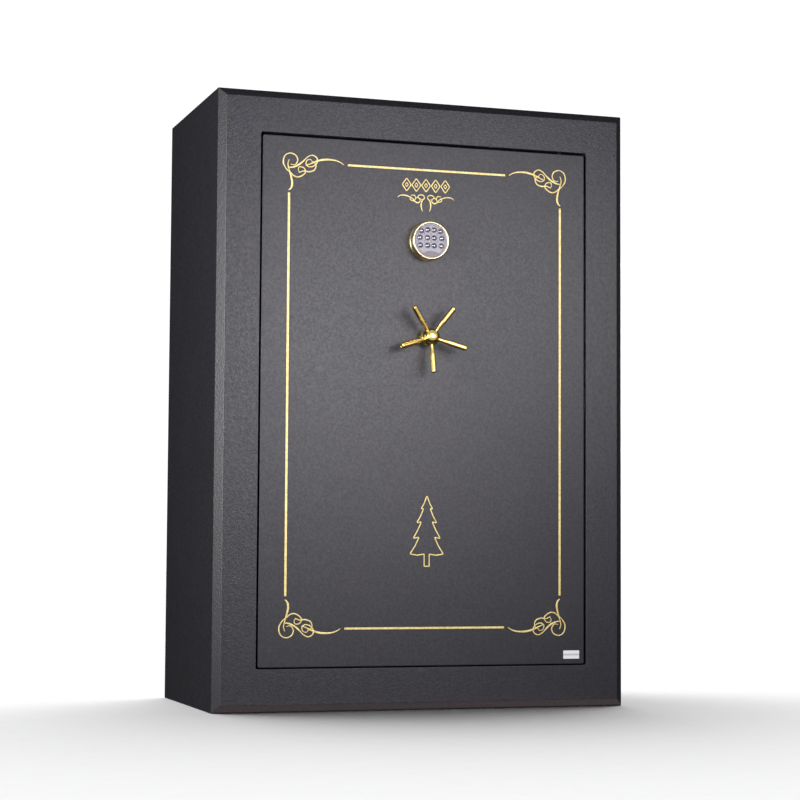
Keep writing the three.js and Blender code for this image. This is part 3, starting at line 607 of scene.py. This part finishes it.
class SafeStageSettings(bpy.types.PropertyGroup):
    """Camera and lights."""
    lens: bpy.props.FloatProperty(name="Lens", description="Focal length on a 36 mm sensor", default=93.96,
                                  min=10, max=300, unit="CAMERA")
    key: power_setting("Key light", "Power of the tall soft box in front", 29.0)
    side: power_setting("Right fill", "Power of the round light on the right", 8.5)
    strip: power_setting("Left strip", "Power of the strip light on the left", 72.0)
    rear: power_setting("Rear fill", "Power of the round light behind on the right", 170.0)
    low: power_setting("Low fill", "Power of the warm strip on the floor under the front chamfer", 0.085)
    core: power_setting("Core", "Power of the small light that draws the handle's shadow", 6.5)
    edge: power_setting("Edge strip", "Power of the narrow strip that draws the edges", 3.5)
    tent: strength_setting("Metal tent", "Strength of the wide light that only the plated metal takes", 1.7)
    card: power_setting("Metal card", "Power of the round card that only the plated metal mirrors", 42.0)
    room: strength_setting("Room", "Brightness of the room round the safe, but for the camera", 0.035)
    sky: strength_setting("Floor light", "Strength of the light that only the floor takes", 5.4)


def setting(name):
    """A size setting, in millimetres."""
    return getattr(bpy.context.scene.safe_sizes, name) / MM


def clad(material, *nodes):
    """Gives carried-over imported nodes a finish."""
    for name in nodes:
        mesh = frame["nodes"][name].data
        mesh.materials.clear()
        mesh.materials.append(finish(material))


class SafePiece:
    """What the operators that make pieces share."""
    bl_options = {"REGISTER", "UNDO"}

    @classmethod
    def poll(cls, context):
        return context.scene is not None

    def execute(self, context):
        self.make()
        return {"FINISHED"}


# ---------------------------------------------------------------- cabinet
class SAFE_OT_shell(SafePiece, bpy.types.Operator):
    """Cabinet: sheet steel folded with small radii, welded round the front chamfer and the doorway"""
    bl_idname = "safe.shell"
    bl_label = "Cabinet shell"

    def make(self):
        bend = setting("bend")
        back = SHELL_HIGH[1]
        inner = BEVEL + SHEET * (math.sqrt(2) - 1)
        lip = 1.2
        section = filleted(
            [(0, back), (0, FRONT + BEVEL), (BEVEL, FRONT), (MARGIN, FRONT), (MARGIN, FRONT + SHEET),
             (inner, FRONT + SHEET), (SHEET, FRONT + inner), (SHEET, back)],
            [0.6, bend * 1.6, bend * 1.6, lip, lip, 1, 1, 0.6], closed=True)
        corner = np.where(section[:, 0] > MARGIN - 2, DOORWAY_CORNER + MARGIN - section[:, 0], bend)
        loops = rounded_loops(section, corner, SHELL_HIGH[0], SHELL_LOW[2], SHELL_HIGH[2])
        piece("shell_skin", [surface(loops, round_rows=True)], finish("frame"), "cabinet",
              ["body_shell"])
        clad("frame", "door_jamb", "back_panel")
        clad("oxide", "hinge_bracket_upper", "hinge_bracket_lower")


def carpeted(name):
    """A lining panel or shelf with its carpet turned round its edges."""
    low, high = corners(name)
    piece(f"{name}_carpet", [rounded_block(low, high, setting("lining_edge"))], finish("carpet"), "cabinet",
          [name])


class SAFE_OT_lining(SafePiece, bpy.types.Operator):
    """Fireboard and carpeted lining of the room inside"""
    bl_idname = "safe.lining"
    bl_label = "Lining"

    def make(self):
        clad("board", "body_fireboard", "rear_fireboard")
        for name in LINERS:
            carpeted(name)


class SAFE_OT_shelves(SafePiece, bpy.types.Operator):
    """Carpeted shelves, the divider and the notched barrel rest"""
    bl_idname = "safe.shelves"
    bl_label = "Shelves and barrel rest"

    def make(self):
        for name in SHELVES:
            carpeted(name)
        low, high = corners("barrel_rack")
        count, pitch, first, radius, depth = 8, 70, -445, 16, 40
        angle = np.linspace(np.pi, 0, 13)
        centre = (first + pitch * np.arange(count))[:, None]
        bottom = low[1] + depth - radius
        x = np.hstack([centre - radius, centre + radius * np.cos(angle), centre + radius]).ravel()
        y = np.hstack([np.full_like(centre, low[1], float), bottom + radius * np.sin(angle) + 0 * centre,
                       np.full_like(centre, low[1], float)]).ravel()
        x = np.concatenate([[low[0]], x, [high[0], high[0], low[0]]])
        y = np.concatenate([[low[1]], y, [low[1], high[1], high[1]]])
        ring = np.stack([np.tile(x, (2, 1)), np.tile(y, (2, 1)),
                         np.repeat([low[2], high[2]], len(x)).reshape(2, -1)], -1)
        piece("barrel_rack_carpet", [surface(ring)], finish("carpet"), "cabinet", ["barrel_rack"],
              bevel=1.6)


# ---------------------------------------------------------------- door
class SAFE_OT_door(SafePiece, bpy.types.Operator):
    """Door plate with a rounded front edge, and the chassis, hinge leaves and boards behind it"""
    bl_idname = "safe.door"
    bl_label = "Door"

    def make(self):
        edge = setting("plate_edge")
        rear = PLATE_HIGH[1]
        section = filleted([(3, rear), (0, rear), (0, DOOR_FACE), (3, DOOR_FACE)], [0, 0.6, edge, 0])
        loops = rounded_loops(section, DOORWAY_CORNER - section[:, 0], PLATE_HIGH[0], PLATE_LOW[2],
                              PLATE_HIGH[2])
        piece("door_skin", [surface(loops)], finish("door"), "door", ["door_plate"])
        clad("black", "door_chassis")
        clad("board", "door_fireboard")
        clad("oxide", "hard_plate", "hinge_leaf_upper", "hinge_leaf_lower")
        clad("zinc", "lock_body")
        clad("seal", "fire_seal")


class SAFE_OT_cover(SafePiece, bpy.types.Operator):
    """Carpeted inner cover of the door, held by round-headed screws"""
    bl_idname = "safe.cover"
    bl_label = "Inner cover"

    def make(self):
        low, high = corners("door_inner_cover")
        piece("inner_cover_carpet", [rounded_block(low, high, 2.6)], finish("carpet"), "door",
              ["door_inner_cover"])
        rear, inset = high[1], 22
        head = filleted([(0, rear - 0.5), (6.5, rear - 0.5), (6.5, rear + 0.6), (4.6, rear + 2.4),
                         (1.9, rear + 2.6), (1.5, rear + 1.3), (0, rear + 1.0)],
                        [0, 0, 0.5, 1.4, 0.3, 0.3, 0], steps=2)
        x = np.linspace(low[0] + inset, high[0] - inset, 3)
        z = np.linspace(low[2] + inset, high[2] - inset, 6)
        spots = {(a, b) for a in x[[0, 2]] for b in z} | {(x[1], b) for b in z[[0, -1]]}
        screws = [turned(head, (a, 0, b), (0, 1, 0), 20) for a, b in sorted(spots)]
        piece("cover_screws", screws, finish("chrome"), "door")


class SAFE_OT_bolts(SafePiece, bpy.types.Operator):
    """Chromed locking bolts, their guide rings, the fixed bar and the bars that carry them"""
    bl_idname = "safe.bolts"
    bl_label = "Bolts"

    def make(self):
        for name in LEFT_BOLTS:
            low, high = corners(name)
            middle = (low + high) / 2
            radius = (high[2] - low[2]) / 2
            shaft = filleted([(0, low[0]), (radius, low[0]), (radius, high[0]), (0, high[0])],
                             [0, 2.4, 0.5, 0])
            piece(f"{name}_chromed", [turned(shaft, (0, middle[1], middle[2]), (1, 0, 0))], finish("chrome"),
                  "left_bolts", [name])
        low, high = corners("left_bolt_1")
        centre_y, radius = (low[1] + high[1]) / 2, (high[2] - low[2]) / 2
        tips = {"top": (CHASSIS_HIGH[2] - 30, corners("top_bolt_bar")[1][2], 1),
                "bottom": (CHASSIS_LOW[2] + 30, corners("bottom_bolt_bar")[0][2], -1)}
        across = (-200, 0, 200)
        for end, (root, tip, side) in tips.items():
            reach = abs(tip - root)
            sleeve = filleted([(0, 0), (radius + 0.15, 0), (radius + 0.15, reach + 0.02), (0, reach + 0.02)],
                              [0, 0.3, 2.2, 0])
            sleeves = [turned(sleeve, (x, centre_y, root), (0, 0, side)) for x in across]
            piece(f"{end}_bolt_sleeves", sleeves, finish("chrome"), f"{end}_bolts")
        clad("steel", "left_bolt_bar", "top_bolt_bar", "bottom_bolt_bar")
        clad("chrome", "lock_bolt")

        ring = filleted([(radius + 0.95, 0), (radius + 5, 0), (radius + 5, 1.6), (radius + 0.95, 1.6)],
                        [0.1, 0.1, 0.7, 0.3], steps=3, closed=True)
        rings = []
        for name in LEFT_BOLTS:
            middle = sum(corners(name)) / 2
            rings.append(turned_ring(ring, (CHASSIS_LOW[0], centre_y, middle[2]), (-1, 0, 0), 40))
        for x in across:
            rings.append(turned_ring(ring, (x, centre_y, CHASSIS_HIGH[2]), (0, 0, 1), 40))
            rings.append(turned_ring(ring, (x, centre_y, CHASSIS_LOW[2]), (0, 0, -1), 40))
        piece("bolt_guide_rings", rings, finish("steel"), "door")
        low, high = corners("fixed_bolt_bar")
        piece("fixed_bar_chromed", [rounded_block(low, high, 2.0)], finish("chrome"), "door",
              ["fixed_bolt_bar"])


# ---------------------------------------------------------------- decoration
STRIPE_X = 354
STRIPE_LOW, STRIPE_HIGH = 277, 1251
STRIPE_TOP, STRIPE_BOTTOM = 1327, 199
STRIPE_REACH = 206
MIDDLE_Z = (STRIPE_TOP + STRIPE_BOTTOM) / 2
ORNAMENT_X = -3.5
STICKER = (364, 407, 120, 140.5)

# Strokes of the flourish at the top left corner: points in (x, z), then the widths along the stroke
# as shares of the full stroke width.
CORNER_STROKES = [
    ([(-355, 1257), (-348.5, 1264), (-346.5, 1276), (-349.5, 1292), (-354.5, 1308), (-357.5, 1322),
      (-354, 1333)], [0.45, 1, 1, 0.8, 0.6, 0.5, 0.35]),
    ([(-351, 1299), (-363, 1311), (-369, 1325), (-365, 1341), (-352, 1348), (-338, 1343), (-333, 1331),
      (-340, 1320), (-351, 1321)], [0.4, 0.5, 0.7, 0.6, 0.5, 0.6, 0.6, 0.5, 0.3]),
    ([(-358, 1313), (-345, 1314), (-330, 1321), (-318, 1331), (-308, 1341), (-296, 1346), (-285, 1340),
      (-284, 1329), (-292, 1320), (-304, 1317), (-312, 1323), (-309, 1333), (-300, 1335), (-296, 1328)],
     [0.4, 0.7, 0.9, 0.8, 0.5, 0.5, 0.6, 0.6, 0.5, 0.5, 0.5, 0.4, 0.3]),
    ([(-352, 1302), (-343, 1293.5), (-332, 1290.5), (-321, 1295), (-313, 1304), (-318, 1314), (-329, 1315),
      (-331, 1306), (-324, 1302)], [0.4, 0.55, 0.6, 0.6, 0.6, 0.5, 0.5, 0.4, 0.3]),
    ([(-330, 1301), (-318, 1306), (-304, 1305), (-291, 1310), (-287, 1322), (-296, 1332)],
     [0.3, 0.6, 0.7, 0.6, 0.5, 0.3]),
    ([(-313, 1320), (-300, 1325), (-282, 1333), (-262, 1337.5), (-240, 1337), (-226, 1333), (-216, 1327)],
     [0.35, 0.6, 0.9, 1, 0.8, 0.6, 0.35]),
]
# Strokes of the right half of the ornament at the top, measured from its middle.
ORNAMENT_STROKES = [
    ([(74, 1256), (66, 1261), (54, 1261.5), (42, 1258), (32, 1253)], [0.25, 0.5, 0.65, 0.5, 0.4]),
    ([(40, 1262), (31, 1263), (27, 1256), (32, 1249), (41, 1252), (39, 1259)],
     [0.3, 0.5, 0.45, 0.45, 0.5, 0.3]),
    ([(36, 1256), (28, 1247), (20, 1245), (15, 1251), (21, 1258), (29, 1254)],
     [0.35, 0.6, 0.6, 0.5, 0.45, 0.3]),
    ([(24, 1257), (17, 1264), (8, 1264), (4, 1258), (9, 1252), (15, 1256)],
     [0.35, 0.5, 0.5, 0.45, 0.4, 0.25]),
    ([(6, 1256), (11, 1248), (12.5, 1238), (11, 1229), (8.5, 1224)], [0.35, 0.6, 0.7, 0.6, 0.2]),
]
FIR_X = 3
# Right half of a fir tree's outline, from its tip down to the middle of its foot.
FIR_OUTLINE = [(0, 522), (7, 503), (15, 489), (8.5, 490), (16, 472), (26, 455), (14, 457.5), (23, 438),
               (35, 417), (20, 420), (30, 399), (43, 379), (24, 376), (6.5, 379), (6.5, 349), (0, 349)]


class SAFE_OT_pinstripes(SafePiece, bpy.types.Operator):
    """Straight gold pinstripes round the door"""
    bl_idname = "safe.pinstripes"
    bl_label = "Pinstripes"

    def make(self):
        half, rise = setting("stripe_width") / 2, setting("paint_rise")
        front, back = DOOR_FACE - rise, DOOR_FACE + PAINT_ROOT
        level, edge = half * 0.9, 0.12
        bars = [rounded_block((x - half, front, STRIPE_LOW), (x + half, back, STRIPE_HIGH), edge)
                for x in (-STRIPE_X, STRIPE_X)]
        bars += [rounded_block((-STRIPE_REACH, front, z - level), (STRIPE_REACH, back, z + level), edge)
                 for z in (STRIPE_BOTTOM, STRIPE_TOP)]
        piece("pinstripes", bars, finish("stripe"), "door")


class SAFE_OT_flourishes(SafePiece, bpy.types.Operator):
    """Looped gold flourishes at the four corners of the pinstripes"""
    bl_idname = "safe.flourishes"
    bl_label = "Corner flourishes"

    def make(self):
        full, rise = setting("stroke_width"), setting("paint_rise")
        for place, turn in {"upper_left": {}, "upper_right": {"x": 0}, "lower_left": {"z": MIDDLE_Z},
                            "lower_right": {"x": 0, "z": MIDDLE_Z}}.items():
            strokes = [brushed_line(mirrored(smooth_line(line), **turn), np.array(widths) * full, rise)
                       for line, widths in CORNER_STROKES]
            piece(f"flourish_{place}", strokes, finish("stripe"), "door", weighted=False)


class SAFE_OT_ornament(SafePiece, bpy.types.Operator):
    """Row of outlined lozenges over a mirrored pair of small scrolls"""
    bl_idname = "safe.ornament"
    bl_label = "Top ornament"

    def make(self):
        full, rise = setting("stroke_width"), setting("paint_rise")
        strokes = []
        for line, widths in ORNAMENT_STROKES:
            right = smooth_line(np.array(line) + (ORNAMENT_X, 0))
            for side in (right, mirrored(right, ORNAMENT_X)):
                strokes.append(brushed_line(side, np.array(widths) * full, rise))
        count, pitch, half_x, half_z, middle = 5, 25.2, 11.5, 16.5, 1288.5
        rhombus = filleted([(half_x, 0), (0, half_z), (-half_x, 0), (0, -half_z)], 2.0, closed=True)
        for i in range(count):
            centre = (ORNAMENT_X + (i - (count - 1) / 2) * pitch, middle)
            for size, width in ((1, 2.6), (0.34, 2.0)):
                strokes.append(brushed_line(rhombus * size + centre, [width, width], rise, closed=True))
        piece("top_ornament", strokes, finish("stripe"), "door", weighted=False)


class SAFE_OT_emblem(SafePiece, bpy.types.Operator):
    """Plain outlined fir tree low on the door"""
    bl_idname = "safe.emblem"
    bl_label = "Fir tree"

    def make(self):
        right = np.array(FIR_OUTLINE, float)
        outline = np.vstack([right, mirrored(right, 0)[-2:0:-1]])
        line = filleted(outline, 1.2, steps=3, closed=True) + (FIR_X, 0)
        tree = brushed_line(line, [2.7, 2.7], setting("paint_rise"), closed=True)
        piece("fir_tree", [tree], finish("stripe"), "door", weighted=False)


class SAFE_OT_sticker(SafePiece, bpy.types.Operator):
    """Blank paper label at the lower right corner of the door"""
    bl_idname = "safe.sticker"
    bl_label = "Label"

    def make(self):
        x0, x1, z0, z1 = STICKER
        outline = filleted([(x0, z0), (x1, z0), (x1, z1), (x0, z1)], 1.5, closed=True)
        paper = slab(outline, DOOR_FACE - 0.15, DOOR_FACE + PAINT_ROOT)
        piece("blank_label", [paper], finish("label"), "door")


# ---------------------------------------------------------------- keypad
def pad_relief(x, z):
    """How far the keypad face sinks at (x, z) from its middle: a round dish at each button, a groove
    near the rim and a small raised lozenge between the buttons."""
    centres = BUTTON_CENTRES[:, [0, 2]] - PAD_CENTRE[[0, 2]]
    away = np.sqrt((x[..., None] - centres[:, 0])**2 + (z[..., None] - centres[:, 1])**2).min(-1)
    dish = 1.3 * np.clip((7.6 - away) / 1.9, 0, 1)**1.3
    groove = 0.6 * np.exp(-((np.hypot(x, z) - 38.6) / 0.8)**2)
    lozenges = np.array([(a, b) for a in (-17, 0, 17) for b in (15.2, -3)]
                        + [(-33.5, 15), (33.5, 15), (-34, -3), (34, -3)])
    far = (np.abs(x[..., None] - lozenges[:, 0]) / 2.6 + np.abs(z[..., None] - lozenges[:, 1]) / 4.2).min(-1)
    return dish + groove - 0.55 * np.clip((1 - far) * 2.5, 0, 1)


class SAFE_OT_keypad(SafePiece, bpy.types.Operator):
    """Round keypad: gold-plated housing, silver face with dished buttons and a blank lens-shaped plate"""
    bl_idname = "safe.keypad"
    bl_label = "Keypad"

    def make(self):
        x, _, z = PAD_CENTRE
        cup, waist, back, front = 42.3, PAD_RADIUS - 2.5, PAD_HIGH[1], PAD_FRONT
        ledge = FACE_HIGH[1] + 0.3
        housing = filleted(
            [(0, ledge + 5), (40, ledge + 5), (40, ledge), (cup, ledge), (cup, front + 1.5),
             (PAD_RADIUS - 3, front), (PAD_RADIUS, front + 4), (PAD_RADIUS, back - 18), (waist, back - 14),
             (waist, back - 9), (PAD_RADIUS, back - 6), (PAD_RADIUS, back), (0, back)],
            [0, 0.2, 0.2, 0.1, 0.6, 1.4, 1.8, 1.2, 1.2, 1.2, 1.2, 0.6, 0], steps=5)
        piece("keypad_housing", [turned(housing, (x, 0, z), (0, 1, 0), 128)], finish("pale_gold"), "door",
              ["keypad_base"])

        radius, y = 42.0, FACE_LOW[1]
        share, angle = np.linspace(0.004, 1, 84), np.linspace(0, 2 * np.pi, 288, endpoint=False)
        px = radius * share[:, None] * np.cos(angle)
        pz = radius * share[:, None] * np.sin(angle)
        relief_y = y + pad_relief(px, pz)
        rim = np.stack([px[-1:] * 1.0, np.full_like(px[-1:], FACE_HIGH[1]), pz[-1:]], -1)
        face = np.concatenate([np.stack([px, relief_y, pz], -1), rim]) + (x, 0, z)
        piece("keypad_pad", [surface(face)], finish("silver"), "door", ["keypad_face"],
              weighted=False)

        low, high = corners("keypad_plate")
        reach, lower, rise = math.pi * 0.19, 41.0, 7.5
        half_width = lower * math.sin(reach)
        upper = (half_width**2 + rise**2) / (2 * rise)
        half = math.asin(half_width / upper)
        below = np.linspace(-reach, reach, 33)
        above = np.linspace(half, -half, 33)[1:-1]
        outline = np.vstack([
            np.stack([lower * np.sin(below), -lower * np.cos(below)], -1),
            np.stack([upper * np.sin(above),
                      upper * np.cos(above) - upper + rise - lower * math.cos(reach)], -1)])
        piece("keypad_lens", [slab(outline + (x, z), low[1], high[1])], finish("lens"), "door",
              ["keypad_plate"], bevel=0.45)


class SAFE_OT_buttons(SafePiece, bpy.types.Operator):
    """Twelve domed buttons, each on its own slide"""
    bl_idname = "safe.buttons"
    bl_label = "Buttons"

    def make(self):
        for i, name in enumerate(BUTTONS):
            low, high = corners(name)
            x, _, z = (low + high) / 2
            radius, front, rear = (high[0] - low[0]) / 2, low[1], high[1]
            sweep, flatness = 1.25, 0.62
            angle = np.linspace(0, 1, 9) * sweep
            bulge = radius / math.sin(sweep)
            dome = np.stack([bulge * np.sin(angle), front + flatness * bulge * (1 - np.cos(angle))], -1)
            skirt = [(radius, rear - 1), (radius - 1, rear), (0, rear)]
            profile = np.vstack([dome, skirt])
            piece(f"button_dome_{i + 1}", [turned(profile, (x, 0, z), (0, 1, 0), 40)], finish("button"),
                  f"button_{i + 1}", [name])


# ---------------------------------------------------------------- handle
class SAFE_OT_handle(SafePiece, bpy.types.Operator):
    """Gold handle: collar, ball hub with its neck, and five flared spokes"""
    bl_idname = "safe.handle"
    bl_label = "Handle"

    def make(self):
        clad("steel", "handle_spindle")
        low, high = corners("handle_collar")
        bore = 10.5
        collar = filleted([(bore, low[1]), (15.5, low[1]), (15.5, high[1] - 7), (18, high[1] - 4),
                           (18, high[1]), (bore, high[1])], [0.4, 1.4, 1.0, 1.2, 0.5, 0.4], closed=True)
        ring = turned_ring(collar, (0, 0, BALL[2]), (0, 1, 0), 80)
        piece("collar_plated", [ring], finish("gold"), "door", ["handle_collar"])

        neck, back = 13.0, HUB_HIGH[1]
        reach = math.pi - math.asin((neck + 0.6) / BALL_RADIUS)
        angle = np.linspace(0, reach, 33)
        ball = np.stack([BALL_RADIUS * np.sin(angle), BALL[1] - BALL_RADIUS * np.cos(angle)], -1)
        stem = filleted([ball[-1], (neck, ball[-1][1] + 1.2), (neck, back), (9.8, back), (9.8, BALL[1] + 2),
                         (0, BALL[1] + 2)], [0, 1.5, 0.8, 0.2, 0.2, 0])
        hub = turned(np.vstack([ball, stem[1:]]), (0, 0, BALL[2]), (0, 1, 0), 80)
        piece("hub_plated", [hub], finish("gold"), "handle", ["handle_hub"])

        cone = math.radians(13.5)
        grip, thin, root, end = 6.8, 4.3, 15, 90.0
        along = np.linspace(root, end - 1.6, 30)
        flare = np.clip((along - 26) / 24, 0, 1)
        radius = thin + (grip - thin) * flare**2 * (3 - 2 * flare)
        tip = filleted([(grip, end - 1.6), (grip, end), (grip - 2.4, end), (grip - 3.2, end - 0.8),
                        (0, end - 0.8)], [0, 1.3, 0.4, 0.3, 0])
        profile = np.vstack([[(0, root)], np.stack([radius, along], -1), tip[1:]])
        for i in range(SPOKES):
            turn = i * 2 * math.pi / SPOKES
            axis = (-math.cos(cone) * math.sin(turn), -math.sin(cone), -math.cos(cone) * math.cos(turn))
            piece(f"spoke_plated_{i + 1}", [turned(profile, BALL, axis, 40)], finish("gold"), "handle",
                  [f"handle_spoke_{i + 1}"])


# ---------------------------------------------------------------- stage
METALWORK = ["hub_plated", "collar_plated", "keypad_housing"] + [f"spoke_plated_{i + 1}"
                                                                 for i in range(SPOKES)]
FLOOR_HALF = 30.0                          # the stage is measured in metres and degrees
CAMERA_PLACE = (-1.658, -5.120, 0.408)
CAMERA_YAW, CAMERA_PITCH, CAMERA_ROLL = (math.radians(a) for a in (18.16, 3.89, 0.34))
SENSOR_WIDTH = 36


def placed(right, up, back, place):
    """The matrix of a camera or light at place that looks away from back."""
    return Matrix([[right[i], up[i], back[i], place[i]] for i in range(3)] + [[0, 0, 0, 1]])


def area_light(name, place, aim, size, power, tint=WHITE, shape="DISK", size_y=None):
    """A soft light at place, in metres, that points at aim."""
    data = bpy.data.lights.new(name, "AREA")
    data.shape, data.size, data.energy = shape, size, power
    if size_y:
        data.size_y = size_y
    data.color = linear(tint)[:3]
    made = bpy.data.objects.new(name, data)
    back = np.array(place, float) - np.array(aim, float)
    back /= np.linalg.norm(back)
    side = np.cross([0, 0, 1.0], back)
    side /= np.linalg.norm(side)
    made.matrix_world = placed(side, np.cross(back, side), back, place)
    made.visible_camera = False
    bpy.context.scene.collection.objects.link(made)
    return made


def wide_sun(name, power, width, lean):
    """A sun as wide as a sky, leaning by that many degrees from straight above."""
    data = bpy.data.lights.new(name, "SUN")
    data.energy, data.angle = power, math.radians(width)
    made = bpy.data.objects.new(name, data)
    made.rotation_euler = (math.radians(lean), 0, 0)
    bpy.context.scene.collection.objects.link(made)
    return made


def link_lights(name, lights, receivers, state="INCLUDE"):
    """Has the lights reach the receivers alone, or all but them if the state is EXCLUDE."""
    group = bpy.data.collections.new(name)
    for receiver in receivers:
        group.objects.link(receiver)
    for member in group.collection_objects:
        member.light_linking.link_state = state
    for light in lights:
        light.light_linking.receiver_collection = group


class SAFE_OT_stage(bpy.types.Operator):
    """Pale floor, soft studio lights and the camera"""
    bl_idname = "safe.stage"
    bl_label = "Stage"
    bl_options = {"REGISTER", "UNDO"}

    def execute(self, context):
        scene = context.scene
        stage = scene.safe_stage
        scene.view_settings.view_transform = "Standard"

        mesh = bpy.data.meshes.new("studio_floor")
        square = [(x * FLOOR_HALF, y * FLOOR_HALF, 0) for x, y in ((-1, -1), (1, -1), (1, 1), (-1, 1))]
        mesh.from_pydata(square, [], [(0, 1, 2, 3)])
        mesh.materials.append(floor_finish())
        floor = bpy.data.objects.new("studio_floor", mesh)
        scene.collection.objects.link(floor)
        floor.visible_diffuse = floor.visible_glossy = False

        front = (0.0, -0.27, 0.9)
        lights = [
            area_light("key", (0.5, -2.8, 1.2), front, 1.2, stage.key, "#f7f3ff", "RECTANGLE", 1.8),
            area_light("right fill", (1.2, -2.2, 1.3), front, 0.8, stage.side),
            area_light("left strip", (-2.3, -1.45, 1.05), (-0.52, -0.2, 0.9), 0.8, stage.strip, WHITE,
                       "RECTANGLE", 1.1),
            area_light("rear fill", (2.4, 3.0, 1.2), (0.2, 0.2, 0.8), 1.6, stage.rear),
            area_light("low fill", (0.0, -0.281, 0.001), (0.0, -0.27, 1.0), 1.06, stage.low, "#ffe6e2",
                       "RECTANGLE", 0.045),
            area_light("core", (0.26, -2.32, 1.1), front, 0.5, stage.core),
            area_light("edge strip", (-1.5, -2.4, 0.9), (-0.5, -0.25, 0.8), 0.3, stage.edge, WHITE,
                       "RECTANGLE", 1.6),
        ]
        link_lights("all but the floor", lights, [floor], "EXCLUDE")
        link_lights("the floor alone", [wide_sun("floor light", stage.sky, 110, -50)], [floor])
        metal = [wide_sun("metal tent", stage.tent, 145, 65),
                 area_light("metal card", (-0.15, -2.25, 1.55), (0.0, -0.3, 0.9), 1.9, stage.card)]
        link_lights("plated metal", metal, [bpy.data.objects[name] for name in METALWORK])

        world = bpy.data.worlds.new("white studio")
        world.use_nodes = True
        tree = world.node_tree
        tree.nodes.clear()
        white = node(tree, "ShaderNodeBackground", {"Color": (1, 1, 1, 1), "Strength": 1.05})
        room = node(tree, "ShaderNodeBackground", {"Color": linear("#f2f4ff"), "Strength": stage.room})
        seen = node(tree, "ShaderNodeLightPath").outputs["Is Camera Ray"]
        mixed = node(tree, "ShaderNodeMixShader", {"Fac": seen, 1: room.outputs[0], 2: white.outputs[0]})
        node(tree, "ShaderNodeOutputWorld", {"Surface": mixed.outputs[0]})
        scene.world = world

        camera = bpy.data.cameras.new("camera")
        camera.lens, camera.sensor_width = stage.lens, SENSOR_WIDTH
        camera.clip_start, camera.clip_end = 0.05, 200
        forward = np.array([math.sin(CAMERA_YAW) * math.cos(CAMERA_PITCH),
                            math.cos(CAMERA_YAW) * math.cos(CAMERA_PITCH), math.sin(CAMERA_PITCH)])
        right = np.array([math.cos(CAMERA_YAW), -math.sin(CAMERA_YAW), 0])
        up = np.cross(right, forward)
        lean, level = math.sin(CAMERA_ROLL), math.cos(CAMERA_ROLL)
        right, up = level * right + lean * up, level * up - lean * right
        seat = bpy.data.objects.new("camera", camera)
        seat.matrix_world = placed(right, up, -forward, CAMERA_PLACE)
        scene.collection.objects.link(seat)
        scene.camera = seat
        return {"FINISHED"}


OPERATORS = (
    SAFE_OT_shell, SAFE_OT_lining, SAFE_OT_shelves, SAFE_OT_door, SAFE_OT_cover, SAFE_OT_bolts,
    SAFE_OT_pinstripes, SAFE_OT_flourishes, SAFE_OT_ornament, SAFE_OT_emblem, SAFE_OT_sticker,
    SAFE_OT_keypad, SAFE_OT_buttons, SAFE_OT_handle, SAFE_OT_stage,
)
SETTINGS = {"safe_finishes": SafeFinishSettings, "safe_sizes": SafeSizeSettings,
            "safe_stage": SafeStageSettings}


class SAFE_PT_panel(bpy.types.Panel):
    """Lists the safe's pieces, its stage and their settings"""
    bl_idname = "SAFE_PT_panel"
    bl_label = "Gun safe"
    bl_space_type = "VIEW_3D"
    bl_region_type = "UI"
    bl_category = "Gun safe"

    def draw(self, context):
        for group in SETTINGS:
            box = self.layout.box()
            for name in SETTINGS[group].__annotations__:
                box.prop(getattr(context.scene, group), name)
        for made in OPERATORS:
            self.layout.operator(made.bl_idname)


CLASSES = (*SETTINGS.values(), *OPERATORS, SAFE_PT_panel)


def register():
    for made in CLASSES:
        bpy.utils.register_class(made)
    for name, group in SETTINGS.items():
        setattr(bpy.types.Scene, name, bpy.props.PointerProperty(type=group))


def unregister():
    for name in SETTINGS:
        delattr(bpy.types.Scene, name)
    for made in reversed(CLASSES):
        bpy.utils.unregister_class(made)


def main():
    """Registers the add-on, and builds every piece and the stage."""
    register()
    for made in OPERATORS:
        getattr(bpy.ops.safe, made.bl_idname.split(".")[1])()


if __name__ == "__main__":
    main()
